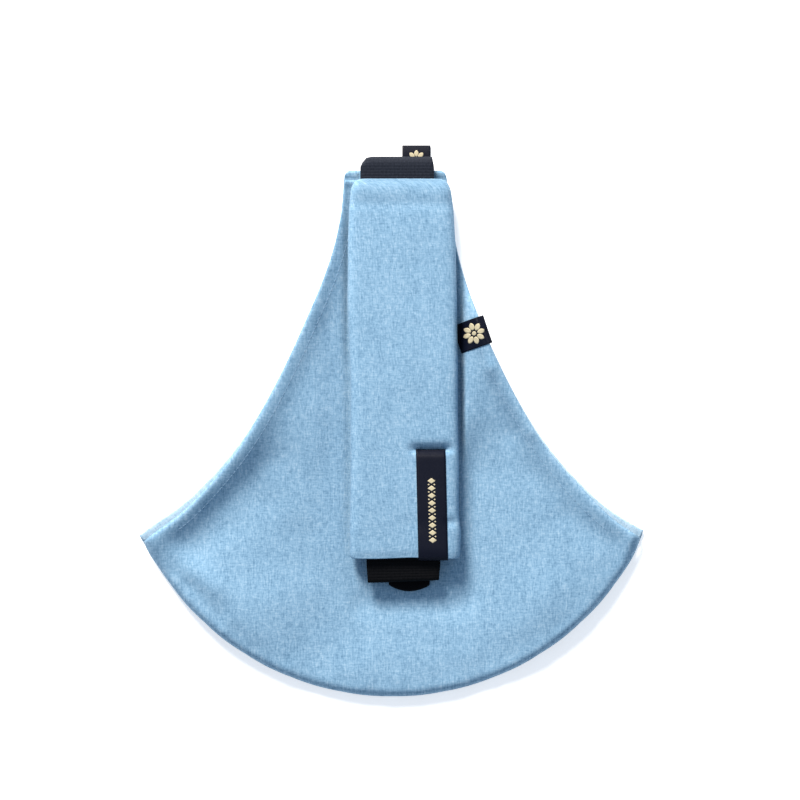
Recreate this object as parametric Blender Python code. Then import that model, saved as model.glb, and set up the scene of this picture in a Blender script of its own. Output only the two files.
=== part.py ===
"""Baby wrap sling, laid flat: a denim seat pouch with its padded shoulder strap folded down over the front.

Lengths are in metres. In this file y runs up the sling from the lowest point of the seat, x to its right,
and z up from the surface it lies on. The empty named carrier then moves the origin to the sling's middle.
"""

import itertools
import math

import bmesh
import bpy
from mathutils import Vector

MM = 0.001
GAP = 0.3 * MM  # air between two pieces that touch
THIN_GAP = 0.2 * MM  # the same, where a thin piece lies against a seat panel

# Seat
SEAT_HALF_WIDTH = 172.0 * MM
TIP_Y = 112.0 * MM
REAR_TOP_Y = 358.7 * MM
NECK_SHIFT = 1.9 * MM  # the neck sits a little to the right of the seat
PANEL_THICK = 1.0 * MM
POUCH_GAP = 2.0 * MM  # between the two panels, where the hems and the seam lie
HEM_WIDTH = 9.0 * MM
HEM_THICK = 0.7 * MM
HEM_TOP_Y = 334.0 * MM
SEAM_WIDTH = 8.0 * MM
# Half width of each panel against height, from the tip to the neck
REAR_SIDE = [
    (172.0, 112.0), (139.5, 134.0), (102.5, 175.0), (71.4, 229.5), (48.6, 284.0), (38.0, 325.0), (34.6, 358.7)
]
FRONT_SIDE = [
    (168.5, 107.5), (138.0, 130.0), (101.0, 174.0), (70.6, 229.5), (48.0, 284.0), (37.4, 325.0), (34.2, 351.9)
]

# Webbing
WEB_WIDTH = 50.0 * MM
WEB_THICK = 1.5 * MM
STRAP_X = 7.4 * MM  # centre line of the strap
UPPER_BAND_X = 3.2 * MM
BAND_APEX_Y = 367.6 * MM
REAR_SEWN_Y = 336.0 * MM
FRONT_SEWN_Y = 325.0 * MM
INNER_FOLD_Y = 348.4 * MM  # centre of the adjusting webbing's fold
THREAD_WIDTH = 0.8 * MM
STITCH_BOX_WIDTH = 40.0 * MM
STITCH_BOX_LOW_Y = 328.0 * MM
STITCH_BOX_TOP_Y = 346.9 * MM

# Shoulder pad
PAD_WIDTH = 74.0 * MM
PAD_LOW_Y = 94.9 * MM
PAD_TOP_Y = 351.2 * MM
PAD_CROWN_Z = 19.2 * MM
PAD_EDGE_Z = 7.4 * MM
PAD_COVER_THICK = 0.8 * MM
PAD_FLAT_HALF = 31.0 * MM  # half width of the flat part of the pad's underside
PAD_TOP_CORNER = (12.0 * MM, 0.12)  # how far down the pad narrows at its top, and by what share
PAD_LOW_CORNER = (5.0 * MM, 0.03)
FOAM_THICK = 4.0 * MM
FOAM_HALF_WIDTH = 30.0 * MM
FOAM_INSET_Y = 8.0 * MM
CROWN_POWER = 6

# Ladder lock
LOCK_HALF_WIDTH = 30.0 * MM
LOCK_RAIL = 4.2 * MM
LOCK_LOW_Y = 100.0 * MM
LOCK_TOP_Y = 138.0 * MM
BAR_RADIUS = 1.5 * MM
ANCHOR_BAR_Y = 104.0 * MM
MIDDLE_BAR_Y = 120.0 * MM
TAB_BAR_Y = 131.0 * MM
TAB_END_Y = 147.0 * MM
TAB_HALF_WIDTH = 14.0 * MM
TAB_THICK = 1.8 * MM
TAB_CORNER = 6.0 * MM
WEB_STUB_Y = 92.0 * MM  # end of the shoulder webbing, below the anchor bar
# Where the adjusting webbing comes down to the middle bar: y, and z above the strand's usual level
ENTRY = [(168.0, 0.0), (157.0, 0.4), (145.0, 1.4), (136.0, 1.9)]
ENTRY_END_Y = 127.0 * MM
# How it leaves that bar under the tab: y and z
EXIT = [(129.0, 7.2), (133.0, 7.4), (139.0, 7.4), (145.0, 7.2), (152.0, 6.4)]
EXIT_START = (123.5 * MM, 0.35 * MM)  # y, and height above the wrap's lower side
EXIT_END_Y = 160.0 * MM

# Tail, keeper and elastic loop
TAIL_LOW_Y = 160.4 * MM
TAIL_TOP_Y = 255.0 * MM
KEEPER_Y = 232.0 * MM
KEEPER_WIDTH = 20.0 * MM
KEEPER_THICK = 0.7 * MM
LOOP_WIDTH = 28.0 * MM
LOOP_THICK = 1.0 * MM
LOOP_END_Y = 71.7 * MM
LOOP_LEGS_Y = (101.0 * MM, 91.0 * MM)  # ends of its upper and its lower leg
LOOP_TOP_Z = 7.5 * MM
LOOP_SHIFT = 4.0 * MM  # to the right of the strap's centre line
BAND_FOLD_Y = 77.9 * MM

# Labels
PAD_LABEL_X = 26.7 * MM
PAD_LABEL_WIDTH = 20.4 * MM
PAD_LABEL_LOW_Y = 94.2 * MM
PAD_LABEL_TOP_Y = 168.3 * MM
SIDE_LABEL_CENTRE = (54.4 * MM, 246.7 * MM)
SIDE_LABEL_SIZE = (22.0 * MM, 19.6 * MM)
SIDE_LABEL_TURN = math.radians(18.7)
FLAG_X = 16.3 * MM
FLAG_WIDTH = 19.4 * MM
FLAG_THICK = 0.7 * MM
FLAG_TOP_Y = 376.2 * MM
CARE_LABEL_CENTRE = (-60.0 * MM, 50.0 * MM)
CARE_LABEL_SIZE = (28.0 * MM, 40.0 * MM)
LABEL_THICK = 0.5 * MM

# Levels, from the surface upwards
REAR_TOP_Z = PANEL_THICK
FRONT_LOW_Z = REAR_TOP_Z + POUCH_GAP
FRONT_TOP_Z = FRONT_LOW_Z + PANEL_THICK
LOCK_LOW_Z = FRONT_TOP_Z + GAP
BAR_Z = LOCK_LOW_Z + WEB_THICK + GAP + BAR_RADIUS
LOCK_TOP_Z = BAR_Z + BAR_RADIUS + GAP + WEB_THICK
PAD_LOW_Z = LOCK_TOP_Z + GAP
HALF_WEB = WEB_THICK / 2
WRAP_RADIUS = BAR_RADIUS + GAP + HALF_WEB  # middle of webbing that wraps a bar
PAD_WEB_Z = PAD_LOW_Z + PAD_COVER_THICK + GAP + HALF_WEB
REAR_WEB_Z = REAR_TOP_Z + THIN_GAP + HALF_WEB
FRONT_WEB_Z = FRONT_TOP_Z + GAP + HALF_WEB
TAIL_Z = FRONT_TOP_Z + GAP + KEEPER_THICK + GAP + HALF_WEB
STRAND_Z = TAIL_Z + WEB_THICK + GAP
FOAM_LOW_Z = PAD_WEB_Z + HALF_WEB + GAP
LABEL_TOP_Z = PAD_CROWN_Z + GAP + LABEL_THICK
FOLD_AXIS_Y = BAND_APEX_Y + 0.4 * MM
FOLD_AXIS_Z = LABEL_TOP_Z / 2 + 0.15 * MM

DENIM = ("denim", (0.33, 0.53, 0.74), 0.9)
DENIM_INSIDE = ("denim_inside", (0.62, 0.74, 0.84), 0.9)
WEBBING = ("webbing", (0.02, 0.022, 0.035), 0.8)
LABEL = ("label", (0.012, 0.014, 0.03), 0.6)
CARE = ("care_label", (0.85, 0.85, 0.83), 0.7)
FOAM = ("foam", (0.8, 0.78, 0.7), 0.95)
PLASTIC = ("plastic", (0.015, 0.015, 0.017), 0.45)
THREAD = ("thread", (0.03, 0.03, 0.045), 0.7)


def clear_scene():
    for obj in list(bpy.data.objects):
        bpy.data.objects.remove(obj)


def material_of(spec):
    name, colour, roughness = spec
    material = bpy.data.materials.get(name) or bpy.data.materials.new(name)
    material.use_nodes = True
    shader = material.node_tree.nodes["Principled BSDF"]
    shader.inputs["Base Color"].default_value = (*colour, 1.0)
    shader.inputs["Roughness"].default_value = roughness
    shader.inputs["Metallic"].default_value = 0.0
    return material


def add_empty(name, location, parent=None):
    empty = bpy.data.objects.new(name, None)
    empty.location = location
    bpy.context.scene.collection.objects.link(empty)
    empty.parent = parent
    return empty


def add_object(name, bm, spec, parent):
    """The mesh as an object under parent. Its points stay where they are in the sling's own coordinates."""
    bmesh.ops.recalc_face_normals(bm, faces=bm.faces)
    mesh = bpy.data.meshes.new(name)
    bm.to_mesh(mesh)
    bm.free()
    mesh.materials.append(material_of(spec))
    mesh.shade_smooth()
    mesh.set_sharp_from_angle(angle=math.radians(35))
    obj = bpy.data.objects.new(name, mesh)
    bpy.context.scene.collection.objects.link(obj)
    obj.parent = parent
    offset = Vector((0.0, 0.0, 0.0))
    while parent is not None and parent.parent is not None:
        offset -= parent.location
        parent = parent.parent
    obj.location = offset
    return obj


def add_union(name, meshes, spec, parent):
    """One object made of several overlapping bodies, joined by Boolean unions."""
    whole = add_object(name, meshes[0], spec, parent)
    for index, bm in enumerate(meshes[1:]):
        piece = add_object(f"{name}_piece_{index}", bm, spec, parent)
        piece.hide_render = True
        piece.display_type = "WIRE"
        union = whole.modifiers.new(f"join_{index}", "BOOLEAN")
        union.operation = "UNION"
        union.object = piece
    return whole


def smooth(points, steps):
    """Catmull-Rom curve through the points, with steps pieces between each two."""
    ends = [2 * points[0] - points[1], *points, 2 * points[-1] - points[-2]]
    curve = []
    for p0, p1, p2, p3 in zip(ends, ends[1:], ends[2:], ends[3:]):
        for step in range(steps):
            t = step / steps
            curve.append(
                0.5 * (2 * p1 + (p2 - p0) * t + (2 * p0 - 5 * p1 + 4 * p2 - p3) * t**2
                       + (3 * p1 - 3 * p2 + p3 - p0) * t**3)
            )
    return curve + [points[-1]]


def arc(centre, radius, start, end, steps):
    """Points of an arc; angles in degrees, from the first axis towards the second."""
    turns = [math.radians(start + (end - start) * step / steps) for step in range(steps + 1)]
    return [Vector((centre[0] + radius * math.cos(a), centre[1] + radius * math.sin(a))) for a in turns]


def neck_shift(y):
    return NECK_SHIFT * min(1.0, max(0.0, (y - 250 * MM) / (60 * MM)))


def side_curve(profile, sign, steps=5):
    """One leg opening's edge, from the tip up to the neck."""
    points = [Vector((half * MM, y * MM)) for half, y in profile]
    return [Vector((sign * p.x + neck_shift(p.y), p.y)) for p in smooth(points, steps)]


def seat_arc(tip, steps=40, inset=0.0):
    """The seat's round lower edge, from the right tip to the left one."""
    radius = (SEAT_HALF_WIDTH**2 + TIP_Y**2) / (2 * TIP_Y)
    swing = math.degrees(math.asin(tip / radius))
    return arc((0.0, radius), radius - inset, swing - 90, -swing - 90, steps)


def extrude_outline(outline, low, high):
    bm = bmesh.new()
    face = bm.faces.new([bm.verts.new((p.x, p.y, low)) for p in outline])
    grown = bmesh.ops.extrude_face_region(bm, geom=[face])
    top = [item for item in grown["geom"] if isinstance(item, bmesh.types.BMVert)]
    bmesh.ops.translate(bm, verts=top, vec=(0.0, 0.0, high - low))
    return bm


def offset_inwards(curve, distance, inside):
    """The curve moved sideways by distance, towards the point inside."""
    moved = []
    for index, point in enumerate(curve):
        along = curve[min(index + 1, len(curve) - 1)] - curve[max(index - 1, 0)]
        normal = Vector((-along.y, along.x)).normalized()
        if normal.dot(inside - point) < 0:
            normal = -normal
        moved.append(point + normal * distance)
    return moved


def loft(sections):
    """A closed body through sections, each a loop of the same number of points."""
    bm = bmesh.new()
    rings = [[bm.verts.new(p) for p in section] for section in sections]
    for lower, upper in zip(rings, rings[1:]):
        for index in range(len(lower)):
            after = (index + 1) % len(lower)
            bm.faces.new((lower[index], lower[after], upper[after], upper[index]))
    bm.faces.new(reversed(rings[0]))
    bm.faces.new(rings[-1])
    return bm


def strip(path, x, width, thick):
    """Flat webbing of this width and thickness along a path of (y, z) points."""
    sections = []
    for index, point in enumerate(path):
        along = path[min(index + 1, len(path) - 1)] - path[max(index - 1, 0)]
        normal = Vector((-along.y, along.x)).normalized() * (thick / 2)
        corners = [(-1, -1), (1, -1), (1, 1), (-1, 1)]
        sections.append(
            [(x + sx * width / 2, point.x + sn * normal.x, point.y + sn * normal.y) for sx, sn in corners]
        )
    return loft(sections)


def box(low, high):
    bm = bmesh.new()
    for x, y, z in itertools.product(*zip(low, high)):
        bm.verts.new((x, y, z))
    bmesh.ops.convex_hull(bm, input=bm.verts)
    bmesh.ops.dissolve_limit(bm, angle_limit=math.radians(1), verts=bm.verts, edges=bm.edges)
    return bm


def build_panel(name, profile, low_z, parent):
    left = side_curve(profile, -1)
    right = side_curve(profile, 1)
    tip = profile[0][0] * MM
    lower = seat_arc(tip)
    outline = left + list(reversed(right)) + lower[1:-1]
    return add_object(name, extrude_outline(outline, low_z, low_z + PANEL_THICK), DENIM, parent)


def build_hem(name, profile, sign, low_z, parent):
    """The turned edge of a leg opening, which lies inside the pouch."""
    curve = [p for p in side_curve(profile, sign) if 128 * MM < p.y < HEM_TOP_Y]
    centre = Vector((0.0, 60 * MM))
    outer = offset_inwards(curve, 0.6 * MM, centre)
    inner = offset_inwards(curve, HEM_WIDTH, centre)
    bm = extrude_outline(outer + list(reversed(inner)), low_z, low_z + HEM_THICK)
    return add_object(name, bm, DENIM_INSIDE, parent)


def build_seat_seam(parent):
    """The seam allowance that joins the two panels along the seat's lower edge."""
    reach = SEAT_HALF_WIDTH - 16 * MM
    outer = seat_arc(reach, inset=0.8 * MM)
    inner = seat_arc(reach, inset=SEAM_WIDTH)
    bm = extrude_outline(outer + list(reversed(inner)), REAR_TOP_Z + THIN_GAP, FRONT_LOW_Z - THIN_GAP)
    return add_object("seat_seam", bm, DENIM_INSIDE, parent)


def build_seat(parent):
    build_panel("rear_panel", REAR_SIDE, 0.0, parent)
    build_panel("front_panel", FRONT_SIDE, FRONT_LOW_Z, parent)
    build_seat_seam(parent)
    for side, sign in (("left", -1), ("right", 1)):
        build_hem(f"rear_hem_{side}", REAR_SIDE, sign, REAR_TOP_Z + THIN_GAP, parent)
        build_hem(f"front_hem_{side}", FRONT_SIDE, sign, FRONT_LOW_Z - THIN_GAP - HEM_THICK, parent)


def build_seat_labels(parent):
    across, along = SIDE_LABEL_SIZE
    turn = SIDE_LABEL_TURN
    right = Vector((math.cos(turn), math.sin(turn))) * (across / 2)
    up = Vector((-math.sin(turn), math.cos(turn))) * (along / 2)
    centre = Vector(SIDE_LABEL_CENTRE)
    outline = [centre - right - up, centre + right - up, centre + right + up, centre - right + up]
    low = FRONT_TOP_Z + GAP
    add_object("side_label", extrude_outline(outline, low, low + LABEL_THICK), LABEL, parent)

    flag = box(
        (FLAG_X - FLAG_WIDTH / 2, REAR_TOP_Y + GAP, THIN_GAP),
        (FLAG_X + FLAG_WIDTH / 2, FLAG_TOP_Y, THIN_GAP + FLAG_THICK),
    )
    add_object("flag_label", flag, LABEL, parent)

    half = Vector(CARE_LABEL_SIZE) / 2
    middle = Vector(CARE_LABEL_CENTRE)
    low = REAR_TOP_Z + GAP
    care = box((*(middle - half), low), (*(middle + half), low + LABEL_THICK))
    add_object("care_label", care, CARE, parent)


def fold_centre():
    """Centre of the upper band's fold at the neck, as (y, z), and the radius of its middle line."""
    radius = (PAD_WEB_Z - REAR_WEB_Z) / 2
    return (BAND_APEX_Y - HALF_WEB - radius, REAR_WEB_Z + radius), radius


def inner_fold():
    """The same for the adjusting webbing, whose fold lies inside the upper band's."""
    radius = (STRAND_Z - FRONT_WEB_Z) / 2
    return (INNER_FOLD_Y, FRONT_WEB_Z + radius), radius


def build_anchor_webs(parent):
    """The two lengths of webbing sewn to the neck, up to the folds where the strap turns."""
    centre, radius = fold_centre()
    path = [Vector((REAR_SEWN_Y, REAR_WEB_Z)), *arc(centre, radius, -90, -2.5, 8)]
    add_object("rear_anchor_web", strip(path, UPPER_BAND_X, WEB_WIDTH, WEB_THICK), WEBBING, parent)

    centre, radius = inner_fold()
    path = [Vector((FRONT_SEWN_Y, FRONT_WEB_Z)), *arc(centre, radius, -90, -8, 6)]
    add_object("front_anchor_web", strip(path, STRAP_X, WEB_WIDTH, WEB_THICK), WEBBING, parent)


def run_of_thread(start, end, width, low, high):
    """A straight run of stitches, half a thread longer than the line from start to end at each end."""
    along = (end - start).normalized() * (width / 2)
    side = Vector((-along.y, along.x))
    start = start - along
    end = end + along
    return extrude_outline([start - side, end - side, end + side, start + side], low, high)


def build_anchor_stitches(parent):
    """The box of stitches, crossed by two diagonals, that holds the webbing to the front panel."""
    low = Vector((STRAP_X - STITCH_BOX_WIDTH / 2, STITCH_BOX_LOW_Y))
    high = Vector((STRAP_X + STITCH_BOX_WIDTH / 2, STITCH_BOX_TOP_Y))
    base = FRONT_WEB_Z + HALF_WEB + GAP
    corners = [low, Vector((high.x, low.y)), high, Vector((low.x, high.y))]
    lines = [*zip(corners, corners[1:] + corners[:1]), (corners[0], corners[2]), (corners[1], corners[3])]
    runs = [run_of_thread(start, end, THREAD_WIDTH, base, base + GAP) for start, end in lines]
    add_union("front_anchor_stitches", runs, THREAD, parent)


def pad_scale(y):
    """Share of the pad's full width at a height: its corners are rounded, more at the top."""
    top_length, top_share = PAD_TOP_CORNER
    low_length, low_share = PAD_LOW_CORNER
    top = max(0.0, (y - PAD_TOP_Y) / top_length + 1)
    low = max(0.0, (PAD_LOW_Y - y) / low_length + 1)
    return 1.0 - top_share * top**2 - low_share * low**2


def crown_z(share):
    """Height of the pad's upper face at a share of its half width."""
    return PAD_EDGE_Z + (PAD_CROWN_Z - PAD_EDGE_Z) * math.sqrt(max(0.0, 1.0 - abs(share) ** CROWN_POWER))


def pad_stations():
    ends = [0.0, 1.5, 3.0, 5.0]
    low = [PAD_LOW_Y + step * MM for step in ends]
    top = [PAD_TOP_Y - step * MM for step in (12.0, 9.0, 6.0, 3.0, 0.0)]
    return low + [PAD_LOW_Y + (PAD_TOP_Y - PAD_LOW_Y) / 2] + top


def top_cover_section(y):
    shares = [math.sin(math.radians(a)) for a in range(-84, 85, 12)]
    half = PAD_WIDTH / 2 * pad_scale(y)
    upper = [(STRAP_X + half * s, y, crown_z(s)) for s in shares]
    inner_half = half - PAD_COVER_THICK
    lower = [(STRAP_X + inner_half * s, y, crown_z(s) - PAD_COVER_THICK) for s in shares]
    foot = PAD_EDGE_Z - 0.4 * MM
    right = [(STRAP_X + half, y, foot), (STRAP_X + inner_half, y, foot)]
    left = [(STRAP_X - inner_half, y, foot), (STRAP_X - half, y, foot)]
    return upper + right + list(reversed(lower)) + left


def bottom_cover_section(y):
    """The pad's underside: flat over the webbing and the lock, and drooping at both edges."""
    half = PAD_WIDTH / 2 * pad_scale(y) - PAD_COVER_THICK - GAP
    flat = min(PAD_FLAT_HALF * pad_scale(y), half - 3.4 * MM)
    edge = PAD_EDGE_Z - 0.4 * MM
    drop = PAD_LOW_Z - edge
    lower = [
        (half, edge),
        (half - 0.5 * MM, edge + 0.45 * drop),
        (flat + 0.7 * MM, PAD_LOW_Z - 0.15 * drop),
        (flat, PAD_LOW_Z),
    ]
    rise = PAD_COVER_THICK
    upper = [
        (half, edge + 1.2 * rise),
        (half - 0.6 * MM, edge + 0.55 * drop + rise),
        (flat + 0.4 * MM, PAD_LOW_Z - 0.05 * drop + rise),
        (flat - 0.5 * MM, PAD_LOW_Z + rise),
    ]
    right = [(STRAP_X + x, y, z) for x, z in lower]
    left = [(STRAP_X - x, y, z) for x, z in reversed(lower)]
    left_top = [(STRAP_X - x, y, z) for x, z in upper]
    right_top = [(STRAP_X + x, y, z) for x, z in reversed(upper)]
    return right + left + left_top + right_top


def foam_section(y, half):
    shares = [-1.0, -0.8, -0.4, 0.0, 0.4, 0.8, 1.0]
    top = [(STRAP_X + half * s, y, FOAM_LOW_Z + FOAM_THICK * (1 - 0.6 * abs(s) ** 4)) for s in shares]
    return [(STRAP_X + half, y, FOAM_LOW_Z), *reversed(top), (STRAP_X - half, y, FOAM_LOW_Z)]


def build_pad(parent):
    stations = pad_stations()
    add_object("pad_top_cover", loft([top_cover_section(y) for y in stations]), DENIM, parent)
    add_object("pad_bottom_cover", loft([bottom_cover_section(y) for y in stations]), DENIM, parent)
    ends = (PAD_LOW_Y + FOAM_INSET_Y, PAD_TOP_Y - FOAM_INSET_Y)
    foam = [foam_section(ends[0], FOAM_HALF_WIDTH - 3 * MM), foam_section(ends[0] + 4 * MM, FOAM_HALF_WIDTH)]
    foam += [foam_section(ends[1] - 6 * MM, FOAM_HALF_WIDTH), foam_section(ends[1], FOAM_HALF_WIDTH - 4 * MM)]
    add_object("pad_foam", loft(foam), FOAM, parent)


def build_pad_label(parent):
    """The long woven label, which follows the pad's crown."""
    sections = []
    for y in (PAD_LABEL_LOW_Y, PAD_LABEL_TOP_Y):
        shares = [-1.0, -0.6, -0.2, 0.2, 0.6, 1.0]
        xs = [PAD_LABEL_X + share * PAD_LABEL_WIDTH / 2 for share in shares]
        under = [crown_z((x - STRAP_X) / (PAD_WIDTH / 2)) + GAP for x in xs]
        lower = [(x, y, z) for x, z in zip(xs, under)]
        upper = [(x, y, z + LABEL_THICK) for x, z in zip(xs, under)]
        sections.append(lower + list(reversed(upper)))
    add_object("pad_label", loft(sections), LABEL, parent)


def build_shoulder_web(parent):
    """Webbing from the neck's fold, through the pad, round the lower fold and round the lock's anchor bar."""
    upper, upper_radius = fold_centre()
    low_strand_z = BAR_Z + WRAP_RADIUS
    low_radius = (PAD_WEB_Z - low_strand_z) / 2
    low_centre = (BAND_FOLD_Y + low_radius + HALF_WEB, low_strand_z + low_radius)
    path = arc(upper, upper_radius, 2.5, 90, 8)
    path += arc(low_centre, low_radius, 90, 270, 10)
    path += arc((ANCHOR_BAR_Y, BAR_Z), WRAP_RADIUS, 90, -90, 10)
    path.append(Vector((WEB_STUB_Y, BAR_Z - WRAP_RADIUS)))
    # The strap's centre line drifts from the upper band's to the pad's on its way through the pad.
    bm = strip(path, 0.0, WEB_WIDTH, WEB_THICK)
    for vert in bm.verts:
        share = min(1.0, max(0.0, (vert.co.y - PAD_TOP_Y + 20 * MM) / (20 * MM)))
        vert.co.x += STRAP_X + (UPPER_BAND_X - STRAP_X) * share
    add_object("shoulder_web", bm, WEBBING, parent)


def build_adjust_web(parent):
    """Webbing from the inner fold down to the lock, round its middle bar and out under its tab as a stub."""
    centre, radius = inner_fold()
    over = BAR_Z + WRAP_RADIUS
    under = BAR_Z - WRAP_RADIUS
    entry = [Vector((y * MM, STRAND_Z + rise * MM)) for y, rise in ENTRY]
    entry.append(Vector((ENTRY_END_Y, over)))
    leaving = [Vector((EXIT_START[0], under + EXIT_START[1]))]
    leaving += [Vector((y, z)) * MM for y, z in EXIT]
    leaving.append(Vector((EXIT_END_Y, TAIL_Z)))
    path = arc(centre, radius, 8, 90, 6)
    path += smooth(entry, 2)
    path += arc((MIDDLE_BAR_Y, BAR_Z), WRAP_RADIUS, 90, 270, 10)
    path += smooth(leaving, 2)
    add_object("adjust_web", strip(path, STRAP_X, WEB_WIDTH, WEB_THICK), WEBBING, parent)


def tab_outline():
    """The lock's cross bar and its rounded lift tab, seen from above."""
    corner = TAB_CORNER
    inner = LOCK_HALF_WIDTH - LOCK_RAIL / 2
    points = [Vector((-inner, TAB_BAR_Y)), Vector((inner, TAB_BAR_Y)), Vector((inner, LOCK_TOP_Y - 1 * MM))]
    points.append(Vector((TAB_HALF_WIDTH, LOCK_TOP_Y - 1 * MM)))
    points += arc((TAB_HALF_WIDTH - corner, TAB_END_Y - corner), corner, 0, 90, 5)
    points += arc((corner - TAB_HALF_WIDTH, TAB_END_Y - corner), corner, 90, 180, 5)
    points += [Vector((-TAB_HALF_WIDTH, LOCK_TOP_Y - 1 * MM)), Vector((-inner, LOCK_TOP_Y - 1 * MM))]
    return [Vector((p.x + STRAP_X, p.y)) for p in points]


def cross_bar(y):
    reach = LOCK_HALF_WIDTH - LOCK_RAIL / 2
    round_bar = arc((y, BAR_Z), BAR_RADIUS, 0, 330, 11)
    ends = (STRAP_X - reach, STRAP_X + reach)
    return loft([[(x, p.x, p.y) for p in round_bar] for x in ends])


def rail(sign):
    """One side of the lock, thinner towards its ends."""
    near = STRAP_X + sign * (LOCK_HALF_WIDTH - LOCK_RAIL)
    far = STRAP_X + sign * LOCK_HALF_WIDTH
    rise = 1.5 * MM
    profile = [
        (LOCK_LOW_Y, LOCK_LOW_Z + rise),
        (LOCK_LOW_Y + 2 * MM, LOCK_LOW_Z),
        (LOCK_TOP_Y, LOCK_LOW_Z),
        (LOCK_TOP_Y, LOCK_LOW_Z + 2 * rise),
        (LOCK_TOP_Y - 5 * MM, LOCK_TOP_Z),
        (LOCK_LOW_Y + 2 * MM, LOCK_TOP_Z),
        (LOCK_LOW_Y, LOCK_TOP_Z - rise),
    ]
    return loft([[(x, y, z) for y, z in profile] for x in (near, far)])


def build_ladder_lock(parent):
    """Two rails, two round bars and a tab plate, joined into one moulding."""
    tab = extrude_outline(tab_outline(), LOCK_LOW_Z + 0.1 * MM, LOCK_LOW_Z + 0.1 * MM + TAB_THICK)
    parts = [rail(-1), rail(1), cross_bar(ANCHOR_BAR_Y), cross_bar(MIDDLE_BAR_Y), tab]
    add_union("ladder_lock", parts, PLASTIC, parent)


def build_elastic_loop(parent):
    """The flat elastic loop under the lower fold."""
    lower_z = LOCK_LOW_Z + 0.1 * MM + LOOP_THICK / 2
    radius = (LOOP_TOP_Z - lower_z) / 2
    centre = (LOOP_END_Y + radius + LOOP_THICK / 2, lower_z + radius)
    upper_end, lower_end = LOOP_LEGS_Y
    path = [Vector((upper_end, LOOP_TOP_Z)), *arc(centre, radius, 90, 270, 8), Vector((lower_end, lower_z))]
    add_object("elastic_loop", strip(path, STRAP_X + LOOP_SHIFT, LOOP_WIDTH, LOOP_THICK), WEBBING, parent)


def build_tail(parent):
    path = [Vector((TAIL_LOW_Y, TAIL_Z)), Vector((TAIL_TOP_Y, TAIL_Z))]
    add_object("tail_web", strip(path, STRAP_X, WEB_WIDTH, WEB_THICK), WEBBING, parent)


def keeper_loop(grow):
    """Rounded rectangle around the two strands, in x and z, grown outwards by grow."""
    half_x = WEB_WIDTH / 2 + 0.5 * MM + grow
    low = TAIL_Z - HALF_WEB - GAP - grow
    high = STRAND_Z + HALF_WEB + GAP + grow
    corner = 0.6 * MM + grow
    loop = []
    for cx, cz, start in ((half_x - corner, high - corner, 0), (corner - half_x, high - corner, 90),
                          (corner - half_x, low + corner, 180), (half_x - corner, low + corner, 270)):
        loop += arc((cx + STRAP_X, cz), corner, start, start + 90, 3)
    return loop


def build_keeper(parent):
    """The elastic ring that holds the tail against the adjusting webbing."""
    bm = bmesh.new()
    rings = []
    for y in (KEEPER_Y - KEEPER_WIDTH / 2, KEEPER_Y + KEEPER_WIDTH / 2):
        for grow in (0.0, KEEPER_THICK):
            rings.append([bm.verts.new((p.x, y, p.y)) for p in keeper_loop(grow)])
    inner_low, outer_low, inner_high, outer_high = rings
    count = len(inner_low)
    corners = [inner_low, outer_low, outer_high, inner_high]
    sides = list(zip(corners, corners[1:] + corners[:1]))
    for a, b in sides:
        for index in range(count):
            after = (index + 1) % count
            bm.faces.new((a[index], a[after], b[after], b[index]))
    add_object("keeper", bm, WEBBING, parent)


def main():
    clear_scene()
    carrier = add_empty("carrier", (0.0, -FLAG_TOP_Y / 2, 0.0))
    strap = add_empty("strap_fold_axis", (STRAP_X, FOLD_AXIS_Y, FOLD_AXIS_Z), carrier)
    tail = add_empty("tail_slide_axis", (STRAP_X, TAIL_LOW_Y, TAIL_Z), carrier)
    keeper = add_empty("keeper_slide_axis", (STRAP_X, KEEPER_Y, STRAND_Z), carrier)
    build_seat(carrier)
    build_seat_labels(carrier)
    build_anchor_webs(carrier)
    build_anchor_stitches(carrier)
    build_pad(strap)
    build_pad_label(strap)
    build_shoulder_web(strap)
    build_adjust_web(strap)
    build_ladder_lock(strap)
    build_elastic_loop(strap)
    build_tail(tail)
    build_keeper(keeper)


main()
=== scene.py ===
"""Looks of a one-shoulder baby sling that lies flat, with its padded strap folded down over the seat.

Lengths are in metres, or in mm where a comment says so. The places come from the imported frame. Up is +Z, out
of the surface that the sling lies on, and the neck is towards +Y.
"""
from collections import Counter
import math

import bmesh
import bpy
import numpy as np
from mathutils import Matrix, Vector, noise
from mathutils.bvhtree import BVHTree


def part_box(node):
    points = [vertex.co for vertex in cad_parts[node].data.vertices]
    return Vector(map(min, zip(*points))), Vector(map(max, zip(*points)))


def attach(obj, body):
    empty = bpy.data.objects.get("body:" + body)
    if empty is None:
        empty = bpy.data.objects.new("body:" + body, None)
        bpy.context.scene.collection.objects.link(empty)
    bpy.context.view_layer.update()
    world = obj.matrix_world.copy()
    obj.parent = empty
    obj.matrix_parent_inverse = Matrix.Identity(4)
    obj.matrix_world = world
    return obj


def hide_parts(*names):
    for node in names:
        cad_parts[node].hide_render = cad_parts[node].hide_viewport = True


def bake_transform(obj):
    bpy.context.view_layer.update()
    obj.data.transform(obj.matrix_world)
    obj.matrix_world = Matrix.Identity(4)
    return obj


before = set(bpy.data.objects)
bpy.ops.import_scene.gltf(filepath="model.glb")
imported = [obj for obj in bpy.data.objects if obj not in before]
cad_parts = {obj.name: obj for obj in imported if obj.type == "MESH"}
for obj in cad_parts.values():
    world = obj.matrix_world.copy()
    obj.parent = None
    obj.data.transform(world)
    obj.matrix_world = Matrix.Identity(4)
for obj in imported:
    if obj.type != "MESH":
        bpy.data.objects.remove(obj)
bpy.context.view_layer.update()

BOX = {name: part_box(name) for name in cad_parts}
MM = 0.001


def middle_x(node):
    return (BOX[node][0].x + BOX[node][1].x) / 2


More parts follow.
